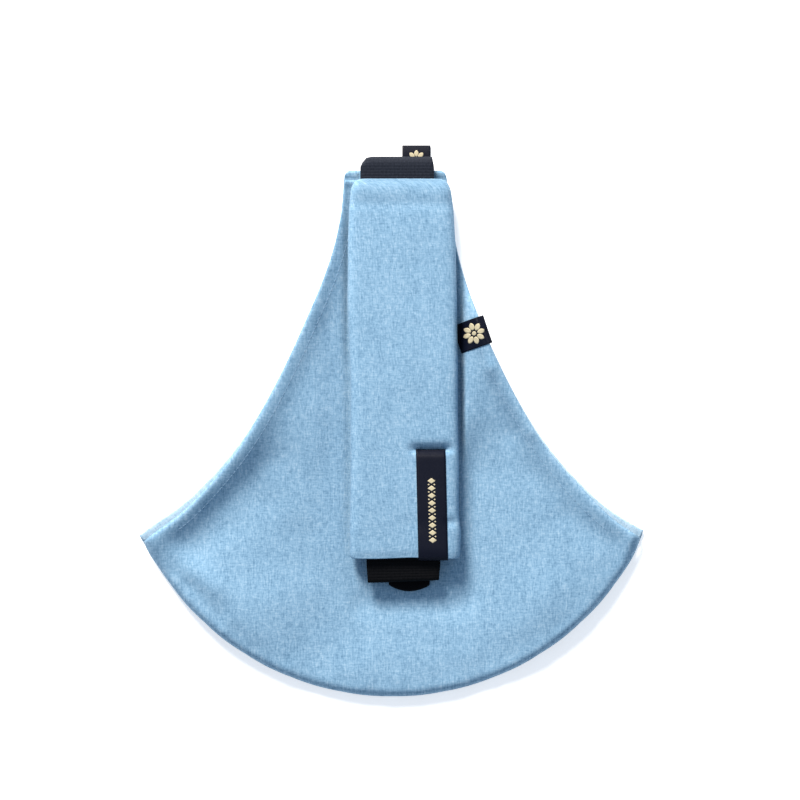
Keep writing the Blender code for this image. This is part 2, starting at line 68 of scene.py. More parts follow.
SEAT_Y = BOX["rear_panel"][0].y  # the seat's lowest point
FRONT_TOP = BOX["front_panel"][1].z
FRONT_MID = (BOX["front_panel"][0].z + FRONT_TOP) / 2

# Light and camera
WIDTH_SEEN = 544.0 * MM
KEY_DISTANCE = 3.2
KEY_AZIMUTH = math.radians(19)  # to the left of +Y
KEY_HEIGHT = math.radians(31)
KEY_SIZE = 1.1
KEY_ENERGY = 214.0
KEY_COLOUR = (1.07, 1.0, 0.93)
SKY_COLOUR = (0.77, 0.92, 1.14)
SKY_STRENGTH = 0.45

# Meshes
STRAIGHT_FROM = 20 * MM  # a longer step of a path is a straight, and gets points STRAIGHT_STEP apart
STRAIGHT_STEP = 5 * MM
THREAD_SIDES = 6

# Cloth
CLOTH = 0.7 * MM
YARN_PITCH = 0.62 * MM

# Relief of the front panel: all in mm, with y from the seat's lowest point
SEAM_MEET = 1.9  # middle of the cloth where it is sewn to the rear panel
SEAM_ROUND = 4.4
BOWL = 4.6
BOWL_REACH = 85
STRAP_FREE = 30  # how far from the strap the cloth is free to rise
DIP = 1.6
RIGHT_LIFT = 6.0
LIFT_ZONE = (150, 195, 255, 295)
LEFT_RIDGE = 5.6  # how far each leg edge stands up
RIGHT_RIDGE = 7.0
LEFT_SLOPE = 4.2
PAD_GROOVE = 2.2
GROOVE_X = -29.5
GROOVE_ZONE = (215, 245, 310, 335)
RIGHT_SHOULDER = 4.5
SHOULDER_Y = 274
SIDE_TILT = 4.0
NECK_ROLL = 1.0
FOLD_FADE = 1.3  # a soft fold fades out past its ends over this many half widths

# Hems and seam: how far each row of a hem is from the edge in mm, and how far it drops below the panel
HEM_SECTION = [(9.0, 1.0), (6.0, 1.0), (3.0, 1.0), (1.0, 0.95), (0.35, 0.7), (0.1, 0.2)]
HEM_TOP = 334 * MM
SEAM_Z = 1.75 * MM

# Strap
WEB_WIDTH = 50.0 * MM
WEB_THICK = 1.5 * MM
RIB_PITCH = 2.05 * MM
RIB_DEPTH = 0.16 * MM
BOX_HALF = 20 * MM  # half the width of a box of stitches
STRAP_X = middle_x("adjust_web")
UPPER_X = middle_x("rear_anchor_web")
PAD_LOW_Y = BOX["pad_top_cover"][0].y
PAD_TOP_Y = BOX["pad_top_cover"][1].y
PAD_CROWN_Z = BOX["pad_top_cover"][1].z
PAD_UNDER_Z = BOX["pad_bottom_cover"][1].z - 0.8 * MM


# ---------------------------------------------------------------- curves, grids and meshes


def smoothstep(low, high, value):
    t = np.clip((value - low) / (high - low), 0.0, 1.0)
    return t * t * (3 - 2 * t)


def between(zone, value):
    """Rises from 0 to 1 over a zone's first two values and falls back over its last two."""
    return smoothstep(zone[0], zone[1], value) * (1 - smoothstep(zone[2], zone[3], value))


def bell(offset, width):
    """1 where the offset is 0, falling smoothly to 0 on both sides."""
    return np.exp(-((offset / width) ** 2))


def run_along(points):
    """How far along its polyline each point is."""
    return np.concatenate([[0.0], np.cumsum(np.linalg.norm(np.diff(points, axis=0), axis=1))])


def left_normals(curve):
    """Unit normals of a flat curve, on its left side."""
    along = np.gradient(curve, axis=0)
    normal = np.stack([-along[:, 1], along[:, 0]], axis=1)
    return normal / np.linalg.norm(normal, axis=1)[:, None]


def resample(points, count):
    """count points, spread evenly along a smooth curve through the given ones. Long steps stay straight."""
    points = with_straights(np.asarray(points, float))
    along = run_along(points)
    slopes = np.gradient(points, along, axis=0)
    targets = np.linspace(0.0, along[-1], count)
    index = np.clip(np.searchsorted(along, targets, side="right") - 1, 0, len(points) - 2)
    span = np.diff(along)[index][:, None]
    t = (targets - along[index])[:, None] / span
    start, end = points[index], points[index + 1]
    leave, reach = slopes[index] * span, slopes[index + 1] * span
    return (
        (2 * t**3 - 3 * t**2 + 1) * start + (t**3 - 2 * t**2 + t) * leave
        + (3 * t**2 - 2 * t**3) * end + (t**3 - t**2) * reach
    )


def with_straights(points):
    """The points, with extra ones on every step that is long enough to be a straight."""
    result = [points[0]]
    for start, end in zip(points, points[1:]):
        length = np.linalg.norm(end - start)
        count = 1 if length < STRAIGHT_FROM else int(length / STRAIGHT_STEP)
        result += [start + (end - start) * k / count for k in range(1, count + 1)]
    return np.array(result)


def arc(centre, radius, start, end, steps):
    """Points (y, z) of an arc; degrees from +Y towards +Z."""
    turn = np.radians(np.linspace(start, end, steps + 1))
    return np.stack([centre[0] + radius * np.cos(turn), centre[1] + radius * np.sin(turn)], axis=1)


def coons(bottom, top, left, right):
    """A grid of points between four curves that meet at their ends. Its rows run from bottom to top."""
    s = np.linspace(0, 1, len(bottom))[None, :, None]
    t = np.linspace(0, 1, len(left))[:, None, None]
    sides = (1 - s) * left[:, None] + s * right[:, None]
    ends = (1 - t) * bottom[None] + t * top[None]
    corners = (1 - t) * ((1 - s) * bottom[0] + s * bottom[-1]) + t * ((1 - s) * top[0] + s * top[-1])
    return sides + ends - corners


def distance(points, curve):
    """How far each (x, y) point is from a curve."""
    dense = resample(curve, 700)
    flat = points.reshape(-1, 2)
    blocks = [flat[first:first + 4000] for first in range(0, len(flat), 4000)]
    nearest = [np.linalg.norm(block[:, None] - dense[None], axis=2).min(axis=1) for block in blocks]
    return np.concatenate(nearest).reshape(points.shape[:-1])


def ripple(points, size, seed):
    """Smooth noise from -1 to 1 whose bumps are about size mm across."""
    shift = Vector((seed * 7.3, seed * 3.1, seed * 1.7))
    flat = points.reshape(-1, points.shape[-1])
    if flat.shape[1] == 2:
        flat = np.pad(flat, ((0, 0), (0, 1)))
    values = [noise.noise(Vector(point) / (size * MM) + shift) for point in flat]
    return np.array(values).reshape(points.shape[:-1])


def add_object(name, mesh):
    mesh.shade_smooth()
    obj = bpy.data.objects.new(name, mesh)
    bpy.context.scene.collection.objects.link(obj)
    return obj


def add_mesh(name, verts, faces, uvs=None):
    """A mesh object. Where no uvs are given, they are all at 0."""
    mesh = bpy.data.meshes.new(name)
    mesh.from_pydata([tuple(v) for v in verts], [], [tuple(f) for f in faces])
    if uvs is None:
        uvs = np.zeros((sum(len(face) for face in faces), 2))
    layer = mesh.uv_layers.new(name="UVMap")
    layer.data.foreach_set("uv", np.asarray(uvs, np.float32).ravel())
    return add_object(name, mesh)


def add_grid(name, points, uv=None, closed=False, caps=False):
    """A surface through rows of points. closed joins each row's ends; caps closes the first and last rows.
    uv has real lengths in metres, and one more column than the points where the rows are closed."""
    rows, cols = points.shape[:2]
    index = np.arange(rows * cols).reshape(rows, cols)
    if closed:
        index = np.concatenate([index, index[:, :1]], axis=1)
    if uv is None:
        uv = flat_uv(points, closed)

    def around(grid, axis):
        return np.stack([grid[:-1, :-1], grid[:-1, 1:], grid[1:, 1:], grid[1:, :-1]], axis=axis)

    face_list = around(index, -1).reshape(-1, 4).tolist()
    uv_list = around(uv, 2).reshape(-1, 2).tolist()
    if caps:
        for row, order in ((0, -1), (rows - 1, 1)):
            face_list.append(index[row, :-1][::order].tolist())
            uv_list += [list(uv[row, 0])] * cols
    return add_mesh(name, points.reshape(-1, 3), face_list, uv_list)


def flat_uv(points, closed=False):
    """Real lengths along the rows and the columns of a grid."""
    grid = np.concatenate([points, points[:, :1]], axis=1) if closed else points
    across = np.array([run_along(row) for row in grid])
    down = np.linalg.norm(np.diff(grid, axis=0), axis=2).mean(axis=1)
    down = np.concatenate([[0.0], np.cumsum(down)])[:, None]
    return np.stack([across, np.broadcast_to(down, across.shape)], axis=-1)


def thicken(obj, thick, offset=0.0):
    solid = obj.modifiers.new("thickness", "SOLIDIFY")
    solid.thickness = thick
    solid.offset = offset
    solid.use_even_offset = False
    return obj


def finer(obj):
    smooth = obj.modifiers.new("smooth", "SUBSURF")
    smooth.levels = smooth.render_levels = 1
    return obj


def height_of(obj):
    """A function that gives obj's topmost height at x and y, or None beside it."""
    tree = BVHTree.FromObject(obj, bpy.context.evaluated_depsgraph_get())

    def height(x, y):
        hit = tree.ray_cast(Vector((x, y, 1.0)), Vector((0, 0, -1)))[0]
        return None if hit is None else hit.z

    return height


def finish_piece(obj, material, body=None, stands_for=()):
    obj.data.materials.clear()
    obj.data.materials.append(material)
    if body:
        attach(obj, body)
    if stands_for:
        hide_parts(*stands_for)
    return obj


# ---------------------------------------------------------------- materials


class Shader:
    """A material under construction: short forms for adding and joining nodes."""

    def __init__(self, name, roughness, sheen=0.0, sheen_colour=(1, 1, 1), specular=0.5):
        self.material = bpy.data.materials.new(name)
        self.material.use_nodes = True
        self.tree = self.material.node_tree
        self.main = self.tree.nodes["Principled BSDF"]
        self.set("Roughness", roughness)
        self.set("Sheen Weight", sheen)
        self.set("Sheen Roughness", 0.45)
        self.set("Sheen Tint", sheen_colour)
        self.set("Specular IOR Level", specular)

    def set(self, name, value):
        self.plug(self.main.inputs[name], value)

    def add(self, kind, inputs=(), **settings):
        node = self.tree.nodes.new("ShaderNode" + kind)
        for key, value in settings.items():
            setattr(node, key, value)
        for key, value in dict(inputs).items():
            self.plug(node.inputs[key], value)
        return node

    def plug(self, socket, value):
        if isinstance(value, bpy.types.NodeSocket):
            self.tree.links.new(value, socket)
        elif isinstance(value, (tuple, list)) and len(value) == 3 and len(socket.default_value) == 4:
            socket.default_value = (*value, 1)
        else:
            socket.default_value = value

    def uv(self):
        return self.add("UVMap", uv_map="UVMap").outputs["UV"]

    def place(self):
        return self.add("TexCoord").outputs["Object"]

    def scaled(self, vector, x, y):
        return self.add("Mapping", {"Vector": vector, "Scale": (x, y, 1.0)}).outputs["Vector"]

    def math(self, operation, *values):
        return self.add("Math", dict(enumerate(values)), operation=operation).outputs[0]

    def noise(self, vector, scale, detail=2.0, roughness=0.6):
        inputs = {"Vector": vector, "Scale": scale, "Detail": detail, "Roughness": roughness}
        return self.add("TexNoise", inputs).outputs["Fac"]

    def wave(self, axis, pitch):
        """0 to 1 along one coordinate, once every pitch."""
        turn = self.math("MULTIPLY", axis, 2 * math.pi / pitch)
        return self.math("MULTIPLY_ADD", self.math("SINE", turn), 0.5, 0.5)

    def split(self, vector):
        node = self.add("SeparateXYZ", {"Vector": vector})
        return node.outputs["X"], node.outputs["Y"]

    def blend_of(self, *parts):
        """The sum of (value, weight) pairs, with each value centred on a half, back around a half."""
        total = 0.5
        for value, weight in parts:
            scaled = self.math("MULTIPLY", self.math("SUBTRACT", value, 0.5), weight)
            total = self.math("ADD", total, scaled)
        return total

    def colours(self, factor, *stops):
        ramp = self.add("ValToRGB", {"Fac": factor})
        elements = ramp.color_ramp.elements
        while len(elements) < len(stops):
            elements.new(0.5)
        for element, (position, colour) in zip(elements, stops):
            element.position = position
            element.color = (*colour, 1)
        self.set("Base Color", ramp.outputs["Color"])

    def roughness(self, factor, low, high):
        node = self.add("MapRange", {"Value": factor, "To Min": low, "To Max": high})
        self.set("Roughness", node.outputs[0])

    def bump(self, height, depth, strength=1.0):
        """Relief from a height of 0 to 1. depth is in mm."""
        node = self.add("Bump", {"Height": height, "Distance": depth * MM, "Strength": strength})
        self.set("Normal", node.outputs["Normal"])


def denim_material(name, dark, middle, light):
    """Chambray: yarns of uneven blue cross paler ones, with short slubs along the warp and a soft mottle."""
    shader = Shader(name, 0.9, sheen=0.08, sheen_colour=(0.8, 0.9, 1.0), specular=0.15)
    uv = shader.uv()
    across, along = shader.split(uv)
    crossing = shader.math("MULTIPLY", shader.wave(across, YARN_PITCH), shader.wave(along, YARN_PITCH))
    warp_yarns = shader.noise(shader.scaled(uv, 980.0, 190.0), 1.0)
    weft_yarns = shader.noise(shader.scaled(uv, 210.0, 900.0), 1.0)
    speckle = shader.noise(uv, 760.0)
    mottle = shader.noise(uv, 300.0)
    streaks = shader.noise(shader.scaled(uv, 170.0, 22.0), 1.0, 3.0)
    cloud = shader.noise(uv, 40.0, 3.0)
    tone = shader.blend_of(
        (warp_yarns, 1.05), (weft_yarns, 0.75), (speckle, 0.6), (mottle, 0.35), (streaks, 0.4), (cloud, 0.22),
        (crossing, 0.08),
    )
    shader.colours(tone, (0.1, dark), (0.5, middle), (0.9, light))
    shader.bump(shader.blend_of((crossing, 0.5), (warp_yarns, 0.7), (weft_yarns, 0.6)), 0.16, 0.6)
    return shader.material


def webbing_material(name, dark, light):
    """Polyester webbing: the ribs are in the mesh, and the yarns that cross them are here."""
    shader = Shader(name, 0.62, specular=0.06)
    uv = shader.uv()
    across, along = shader.split(uv)
    yarn = shader.wave(across, 0.9 * MM)
    cross = shader.wave(along, RIB_PITCH / 2)
    grain = shader.noise(shader.scaled(uv, 1.0, 0.4), 1500.0)
    shader.colours(shader.blend_of((grain, 0.9), (yarn, 0.35), (cross, 0.25)), (0.2, dark), (0.8, light))
    shader.roughness(grain, 0.5, 0.75)
    shader.bump(shader.blend_of((yarn, 1.0), (grain, 0.5)), 0.18, 0.8)
    return shader.material


def satin_material(name, dark, light, roughness=0.42):
    """Woven label: fine satin floats across its width."""
    shader = Shader(name, roughness, specular=0.1)
    uv = shader.uv()
    line = shader.wave(shader.split(uv)[1], 0.36 * MM)
    grain = shader.noise(shader.scaled(uv, 0.35, 1.0), 2200.0)
    shader.colours(shader.blend_of((grain, 0.9), (line, 0.4)), (0.2, dark), (0.8, light))
    shader.bump(shader.blend_of((line, 1.0), (grain, 0.4)), 0.06, 0.8)
    return shader.material


def thread_material(name, dark, light):
    shader = Shader(name, 0.55, sheen=0.1)
    grain = shader.noise(shader.place(), 3500.0)
    shader.colours(grain, (0.3, dark), (0.7, light))
    shader.bump(grain, 0.05, 0.6)
    return shader.material


def plastic_material():
    shader = Shader("plastic_black", 0.55, specular=0.3)
    place = shader.place()
    wear = shader.noise(place, 90.0, 3.0)
    shader.colours(wear, (0.3, (0.010, 0.010, 0.011)), (0.7, (0.020, 0.020, 0.022)))
    shader.roughness(wear, 0.5, 0.66)
    shader.bump(shader.noise(place, 2600.0, 2.0, 0.5), 0.04, 0.5)
    return shader.material


def foam_material():
    shader = Shader("foam_open_cell", 0.95, specular=0.2)
    cell = shader.add("TexVoronoi", {"Vector": shader.place(), "Scale": 1100.0}).outputs["Distance"]
    shader.colours(cell, (0.1, (0.42, 0.40, 0.33)), (0.6, (0.72, 0.70, 0.62)))
    shader.bump(cell, 0.3, 0.8)
    return shader.material


DENIM = denim_material("denim_light", (0.113, 0.226, 0.346), (0.212, 0.368, 0.512), (0.345, 0.502, 0.632))
DENIM_INSIDE = denim_material("denim_wrong_side", (0.28, 0.44, 0.57), (0.43, 0.59, 0.71), (0.57, 0.70, 0.80))
WEBBING = webbing_material("webbing_black", (0.007, 0.009, 0.014), (0.025, 0.030, 0.043))
# A darker copy of the same webbing, with painted shade: it is for the lower fold, which lies in the pad's
# shadow.
WEBBING_PAINTED_SHADE = webbing_material("webbing_black_painted_shade", (0.0002, 0.0003, 0.0006), (0.0050, 0.0054, 0.0070))
# Black elastic, made darker still with painted shade for the loop that lies in the shade under the lower fold.
# The keeper uses the same colour.
ELASTIC_PAINTED_SHADE = webbing_material("elastic_black_painted_shade", (0.0003, 0.0004, 0.0008), (0.0025, 0.003, 0.005))
LABEL = satin_material("label_satin", (0.002, 0.003, 0.008), (0.006, 0.008, 0.019))
CARE = satin_material("care_tape", (0.60, 0.60, 0.58), (0.78, 0.78, 0.75), 0.6)
GOLD = satin_material("gold_weave", (0.40, 0.34, 0.20), (0.72, 0.65, 0.46), 0.45)
BLUE_THREAD = thread_material("thread_blue", (0.24, 0.39, 0.53), (0.35, 0.51, 0.65))
BLACK_THREAD = thread_material("thread_black", (0.006, 0.006, 0.010), (0.020, 0.020, 0.030))
PLASTIC = plastic_material()
FOAM = foam_material()


# ---------------------------------------------------------------- the seat


def outline_of(node):
    """The edge of a flat CAD panel, seen from above, as a closed loop of points."""
    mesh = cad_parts[node].data
    uses = Counter()
    for face in mesh.polygons:
        corners = [mesh.vertices[i].co for i in face.vertices]
        if min(corner.z for corner in corners) > BOX[node][1].z - 1e-5:
            keys = [(round(corner.x, 6), round(corner.y, 6)) for corner in corners]
            uses.update(frozenset(pair) for pair in zip(keys, keys[1:] + keys[:1]))
    neighbours = {}
    for edge, count in uses.items():
        if count == 1:
            a, b = edge
            neighbours.setdefault(a, []).append(b)
            neighbours.setdefault(b, []).append(a)
    start = min(neighbours)
    loop = [start, neighbours[start][0]]
    while loop[-1] != start:
        loop.append(next(p for p in neighbours[loop[-1]] if p != loop[-2]))
    return np.array(loop[:-1])


class Panel:
    """One bell-shaped panel: its four edges and its area."""

    def __init__(self, node):
        loop = outline_of(node)
        x, y = loop.T
        left_tip, right_tip = int(x.argmin()), int(x.argmax())
        at_top = np.flatnonzero(y > y.max() - 0.5 * MM)
        neck_left, neck_right = int(at_top[x[at_top].argmin()]), int(at_top[x[at_top].argmax()])
        self.bottom = self.run(loop, left_tip, right_tip, 1)
        self.left = self.run(loop, left_tip, neck_left, -1)
        self.right = self.run(loop, right_tip, neck_right, -1)
        self.top = loop[[neck_left, neck_right]]
        after = np.roll(loop, -1, axis=0)
        self.area = abs(float((x * after[:, 1] - y * after[:, 0]).sum() / 2))

    @staticmethod
    def run(loop, start, end, sign):
        """The stretch between two corners that dips lower where sign is 1, or less low where it is -1."""
        count = len(loop)
        forward = loop[[(start + k) % count for k in range((end - start) % count + 1)]]
        backward = loop[[(start - k) % count for k in range((start - end) % count + 1)]]
        return min(forward, backward, key=lambda run: sign * run[:, 1].min())

    def grid(self, rows, cols):
        top = np.linspace(self.top[0], self.top[1], cols)
        return coons(resample(self.bottom, cols), top, resample(self.left, rows), resample(self.right, rows))


REAR = Panel("rear_panel")
FRONT = Panel("front_panel")

# Soft folds of the front panel, in mm from the seat's lowest point: (x, y) to (x, y), half width, height
SEAT_FOLDS = [
    ((-84, 158), (-118, 132), 11, -1.6),
    ((-140, 98), (-96, 130), 13, -2.0),
    ((-150, 97), (-122, 76), 8, 2.4),
    ((-136, 74), (-120, 56), 7, -1.2),
    ((-106, 42), (-88, 24), 7, -1.3),
    ((-108, 60), (-84, 62), 22, 1.9),
    ((-62, 128), (-48, 190), 12, 0.8),
    ((52, 266), (66, 226), 5, 1.6),
    ((68, 222), (92, 182), 6, 1.8),
    ((52, 240), (80, 182), 9, -2.2),
    ((96, 66), (128, 86), 24, 2.1),
    ((150, 108), (120, 122), 9, -1.0),
    ((112, 44), (66, 20), 11, -0.9),
    ((-20, 20), (40, 28), 18, 0.7),
]


def rounded_rise(depth, radius):
    """0 at an edge, rising like a quarter circle to 1 at radius."""
    near = np.clip(depth / radius, 0.0, 1.0)
    return np.sqrt(1.0 - (1.0 - near) ** 2)


def fold_height(points):
    """What the soft folds add to the front panel, in mm."""
    total = np.zeros(points.shape[:-1])
    for start, end, half_width, height in SEAT_FOLDS:
        offset = points / MM - start - (0, SEAT_Y / MM)
        axis = np.subtract(end, start)
        length = np.linalg.norm(axis)
        along = axis / length
        run = offset @ along
        side = offset @ np.array([-along[1], along[0]])
        beyond = np.maximum(0, np.maximum(-run, run - length))
        total += height * bell(side, half_width) * bell(beyond, FOLD_FADE * half_width)
    return total


def strap_distance(points):
    """How far each point is from the part of the seat that the strap presses down."""
    x, y = points[..., 0], points[..., 1]
    beside = np.maximum(BOX["pad_top_cover"][0].x + 5 * MM - x, x - BOX["pad_top_cover"][1].x + 5 * MM)
    below = BOX["elastic_loop"][0].y + 4 * MM - y
    return np.hypot(np.maximum(beside, 0), np.maximum(below, 0))


def front_height(points):
    """Middle of the front panel's cloth above each (x, y): a shallow bowl that the strap lies in."""
    x, y = points[..., 0] / MM, (points[..., 1] - SEAT_Y) / MM
    seam = distance(points, FRONT.bottom) / MM
    leg = np.minimum(distance(points, FRONT.left), distance(points, FRONT.right)) / MM
    away = strap_distance(points) / MM
    free = smoothstep(0, STRAP_FREE, away)
    rise = rounded_rise(seam, SEAM_ROUND)
    height = SEAM_MEET + (FRONT_MID / MM - SEAM_MEET) * rise
    height += BOWL * smoothstep(0, BOWL_REACH, away) * rounded_rise(seam, 1.5 * SEAM_ROUND)
    # Beside the pad the cloth dips, but on the right it is lifted where the side label is
    lifted = between(LIFT_ZONE, y) * smoothstep(46.5, 51, x)
    height -= DIP * smoothstep(-34, -20, x) * (1 - lifted) * rise * bell(away - 13, 10)
    height += RIGHT_LIFT * lifted * bell(x - 46, 21)
    # The leg edges stand up in ridges
    up = smoothstep(140, 220, y)
    left = x < 0
    width = np.where(left, 10.5 - 1.5 * up, 10 + 11 * up)
    peak = np.where(left, LEFT_RIDGE * (1.0 - 0.35 * up), RIGHT_RIDGE * (0.5 + 0.5 * up))
    peak = peak * (1.0 + 0.3 * ripple(points, 38, 11))
    start = np.where(left, 1.3, 2.2)
    ridge = bell(np.maximum(leg - start, 0), width) * rounded_rise(leg + 0.5, start + 0.8)
    height += free * peak * ridge * smoothstep(0, 7, seam)
    height += free * LEFT_SLOPE * smoothstep(20, -20, x) * smoothstep(110, 190, y) * rise * bell(leg, 40)
    # A groove runs along the pad's left side, and a shoulder and the two wings rise beside it
    groove = bell(x - GROOVE_X, 3.6) * (0.35 + 0.65 * between(GROOVE_ZONE, y)) * smoothstep(92, 125, y)
    height -= PAD_GROOVE * groove * rise
    height += RIGHT_SHOULDER * bell(y - SHOULDER_Y, 54) * smoothstep(46, 60, x)
    height += SIDE_TILT * (1 - smoothstep(15, 115, y)) * smoothstep(50, 110, abs(x)) * rise
    # The neck's turned edge, the seam's puckers, the folds and the cloth's own waves
    neck = (FRONT.top[0, 1] - points[..., 1]) / MM
    height += NECK_ROLL * bell(neck - 1.6, 2.0) * smoothstep(22, 26, abs(x - UPPER_X / MM))
    pucker = ripple(points, 9, 3) * bell(seam, 12)
    height += free * rise * (0.55 * pucker + fold_height(points))
    height += free * rise * (0.9 * ripple(points, 52, 1) + 0.28 * ripple(points, 15, 2))
    return np.maximum(height, SEAM_MEET) * MM


def rear_height(points):
    """Middle of the rear panel's cloth: flat on the surface, and lifted a little where it is sewn."""
    seam = distance(points, REAR.bottom) / MM
    leg = np.minimum(distance(points, REAR.left), distance(points, REAR.right)) / MM
    lift = 0.75 * (1.0 - rounded_rise(seam, 5))
    curl = 0.8 * bell(leg, 5) * smoothstep(0, STRAP_FREE, strap_distance(points) / MM)
    neck = (REAR.top[0, 1] - points[..., 1]) / MM
    roll = 1.3 * smoothstep(25.5, 28, abs(points[..., 0] - UPPER_X) / MM) * bell(neck - 1.8, 1.7)
    return CLOTH / 2 + (lift + curl + roll) * MM


# How the cloth near a corner is drawn out of its flat shape: (corner, shift, reach), in mm
REAR_PULLS = [
    (REAR.top[0], (1.2, -1.2), 2),
    (REAR.top[1], (-1.2, -1.2), 2),
    (REAR.left[0], (-1.0, -2.6), 9),
    (REAR.right[0], (-0.6, 0.9), 4),
]
FRONT_PULLS = [
    (FRONT.left[0], (-1.2, -2.0), 12),
    (FRONT.right[0], (0.6, 0.2), 12),
    (FRONT.right[0] + np.array([-36, 30]) * MM, (1.0, 1.3), 26),
]


def pulled(flat, pulls):
    """Flat points, drawn by each pull near its corner."""
    where = flat.copy()
    for corner, shift, reach in pulls:
        near = bell(np.linalg.norm(flat - corner, axis=-1), reach * MM)
        where += near[..., None] * np.array(shift) * MM
    return where


def build_panel(name, panel, height, rows, cols, pulls):
    flat = panel.grid(rows, cols)
    points = np.concatenate([pulled(flat, pulls), height(flat)[..., None]], axis=-1)
    return thicken(add_grid(name, points, flat), CLOTH)


def inward(curve):
    """Unit normals of a leg edge that point into the seat."""
    normal = left_normals(curve)
    middle = np.array([0.0, SEAT_Y + 60 * MM])
    normal[((middle - curve) * normal).sum(axis=1) < 0] *= -1
    return normal


def build_hem(name, edge, height, side, pulls):
    """The turned edge of a leg opening: over the edge from the panel's face and back along its inner side."""
    curve = resample(edge, 240)
    curve = curve[curve[:, 1] < SEAT_Y + HEM_TOP]
    normal = inward(curve)
    run = run_along(curve)[:, None]
    taper = 0.72 + 0.28 * smoothstep(0, 12 * MM, run)
    gap = side * (CLOTH + 0.12 * MM) * (0.25 + 0.75 * smoothstep(0, 6 * MM, run[:, 0]))
    rows = []
    for reach, drop in HEM_SECTION:
        flat = curve + normal * reach * MM * taper
        rows.append(np.column_stack([pulled(flat, pulls), height(flat) + gap * drop]))
    return thicken(add_grid(name, np.array(rows)), 0.5 * MM)


def stitches(name, path, body, material, length=2.6, gap=0.9, radius=0.11, lift=0.02, facing=1):
    """A row of stitches along a path of points: each is a short thread that dips into the cloth at both ends.
    Its sizes are in mm. facing is 1 on a surface that looks up and -1 on one that looks down."""
    count = max(1, int(run_along(np.asarray(path, float))[-1] / ((length + gap) * MM)))
    samples = resample(path, count * 8 + 1)
    turns = [2 * math.pi * k / THREAD_SIDES for k in range(THREAD_SIDES)]
    around = np.arange(THREAD_SIDES)
    verts, faces = [], []
    for index in range(count):
        run = samples[index * 8:index * 8 + 7]
        axis = run[-1] - run[0]
        axis /= max(np.linalg.norm(axis), 1e-9)
        across = np.cross(axis, (0, 0, 1))
        if np.linalg.norm(across) < 0.2:
            across = np.cross(axis, (0, 1, 0))
        across /= np.linalg.norm(across)
        up = np.cross(across, axis) * facing
        first = len(verts)
        for share in (0.0, 0.12, 0.5, 0.88, 1.0):
            at_end = share in (0.0, 1.0)
            centre = run[0] + (run[-1] - run[0]) * share + up * (-radius if at_end else lift) * MM
            thick = radius * MM * (0.5 if at_end else 1.0)
            verts += [centre + thick * (math.cos(turn) * across + math.sin(turn) * up) for turn in turns]
        for low in range(first, first + 4 * THREAD_SIDES, THREAD_SIDES):
            after = low + (around + 1) % THREAD_SIDES
            sides = np.stack([low + around, after, after + THREAD_SIDES, low + around + THREAD_SIDES], axis=1)
            faces += sides.tolist()
        faces.append((first + around)[::-1].tolist())
        faces.append((first + 4 * THREAD_SIDES + around).tolist())
    return finish_piece(add_mesh(name, verts, faces), material, body)


def build_seat():
    rear = build_panel("rear_panel_cloth", REAR, rear_height, 160, 150, REAR_PULLS)
    finish_piece(rear, DENIM, "seat", ["rear_panel"])
    front = build_panel("front_panel_cloth", FRONT, front_height, 190, 230, FRONT_PULLS)
    finish_piece(front, DENIM, "seat", ["front_panel"])
    hems = {}
    for label, panel, height, side, pulls in (
        ("front", FRONT, front_height, -1, FRONT_PULLS),
        ("rear", REAR, rear_height, 1, REAR_PULLS),
    ):
        hems[label] = []
        for which, edge in (("left", panel.left), ("right", panel.right)):
            node = f"{label}_hem_{which}"
            hem = build_hem(node + "_cloth", edge, height, side, pulls)
            hems[label].append(finish_piece(hem, DENIM_INSIDE, "seat", [node]))
    seam = build_seam()
    return front


def build_seam():
    """The two seam allowances inside the seat's lower edge, trimmed and overlocked together."""
    curve = resample(FRONT.bottom, 300)[14:-14]
    normal = left_normals(curve)
    wave = 0.12 * MM * np.sin(np.arange(len(curve)) * 0.7)
    rows = []
    for reach, waved in ((0.9, 0), (2.5, 0), (5.0, 1), (7.6, 1)):
        rows.append(np.column_stack([curve + normal * reach * MM, SEAM_Z + wave * waved]))
    seam = thicken(add_grid("seat_seam_cloth", np.array(rows)), 0.8 * MM)
    return finish_piece(seam, DENIM_INSIDE, "seat", ["seat_seam"])


# ---------------------------------------------------------------- webbing


def band(name, path, centre, width=WEB_WIDTH, thick=WEB_THICK, rib=RIB_DEPTH, pitch=RIB_PITCH, step=0.42,
         shape=None, columns=14):
    """Flat webbing along a (y, z) path. centre gives x at a y, rib is how deep its cross ribs are and step is
    the mesh's step in mm. shape(x share, points) may move the points of each section."""
    count = max(4, int(run_along(np.asarray(path, float))[-1] / (step * MM)))
    middle = resample(path, count)
    normal = left_normals(middle)
    run = run_along(middle)
    shares = np.linspace(-1, 1, columns)[1:-1]
    edge = np.array([1.0, 0.5, 0.0, -0.5, -1.0])
    side = 1.0 - 0.012 * edge**2
    section = np.concatenate([
        np.column_stack([shares, np.ones(len(shares))]), np.column_stack([side, edge * 0.75]),
        np.column_stack([shares[::-1], -np.ones(len(shares))]), np.column_stack([-side, -edge * 0.75]),
    ])
    half = thick / 2 - rib + rib * (0.5 + 0.5 * np.cos(2 * math.pi * run / pitch))
    x = np.array([centre(y) for y in middle[:, 0]])[:, None] + section[None, :, 0] * width / 2
    offset = section[None, :, 1] * half[:, None]
    y = middle[:, 0][:, None] + offset * normal[:, 0][:, None]
    z = middle[:, 1][:, None] + offset * normal[:, 1][:, None]
    points = np.stack([x, y, z], axis=-1)
    if shape is not None:
        points = shape(section[:, 0], points)
    u = run_along(np.concatenate([section, section[:1]]) * (width / 2, thick / 2))
    uv = np.stack(np.broadcast_arrays(u[None, :], run[:, None]), axis=-1)
    return add_grid(name, points, uv, closed=True, caps=True)


def fold_of(node, high):
    """Centre (y, z) and radius of the fold between a node's webbing and the layer whose middle is at high."""
    low = BOX[node][0].z + WEB_THICK / 2
    radius = (high - low) / 2
    return (BOX[node][1].y - WEB_THICK / 2 - radius, low + radius), radius


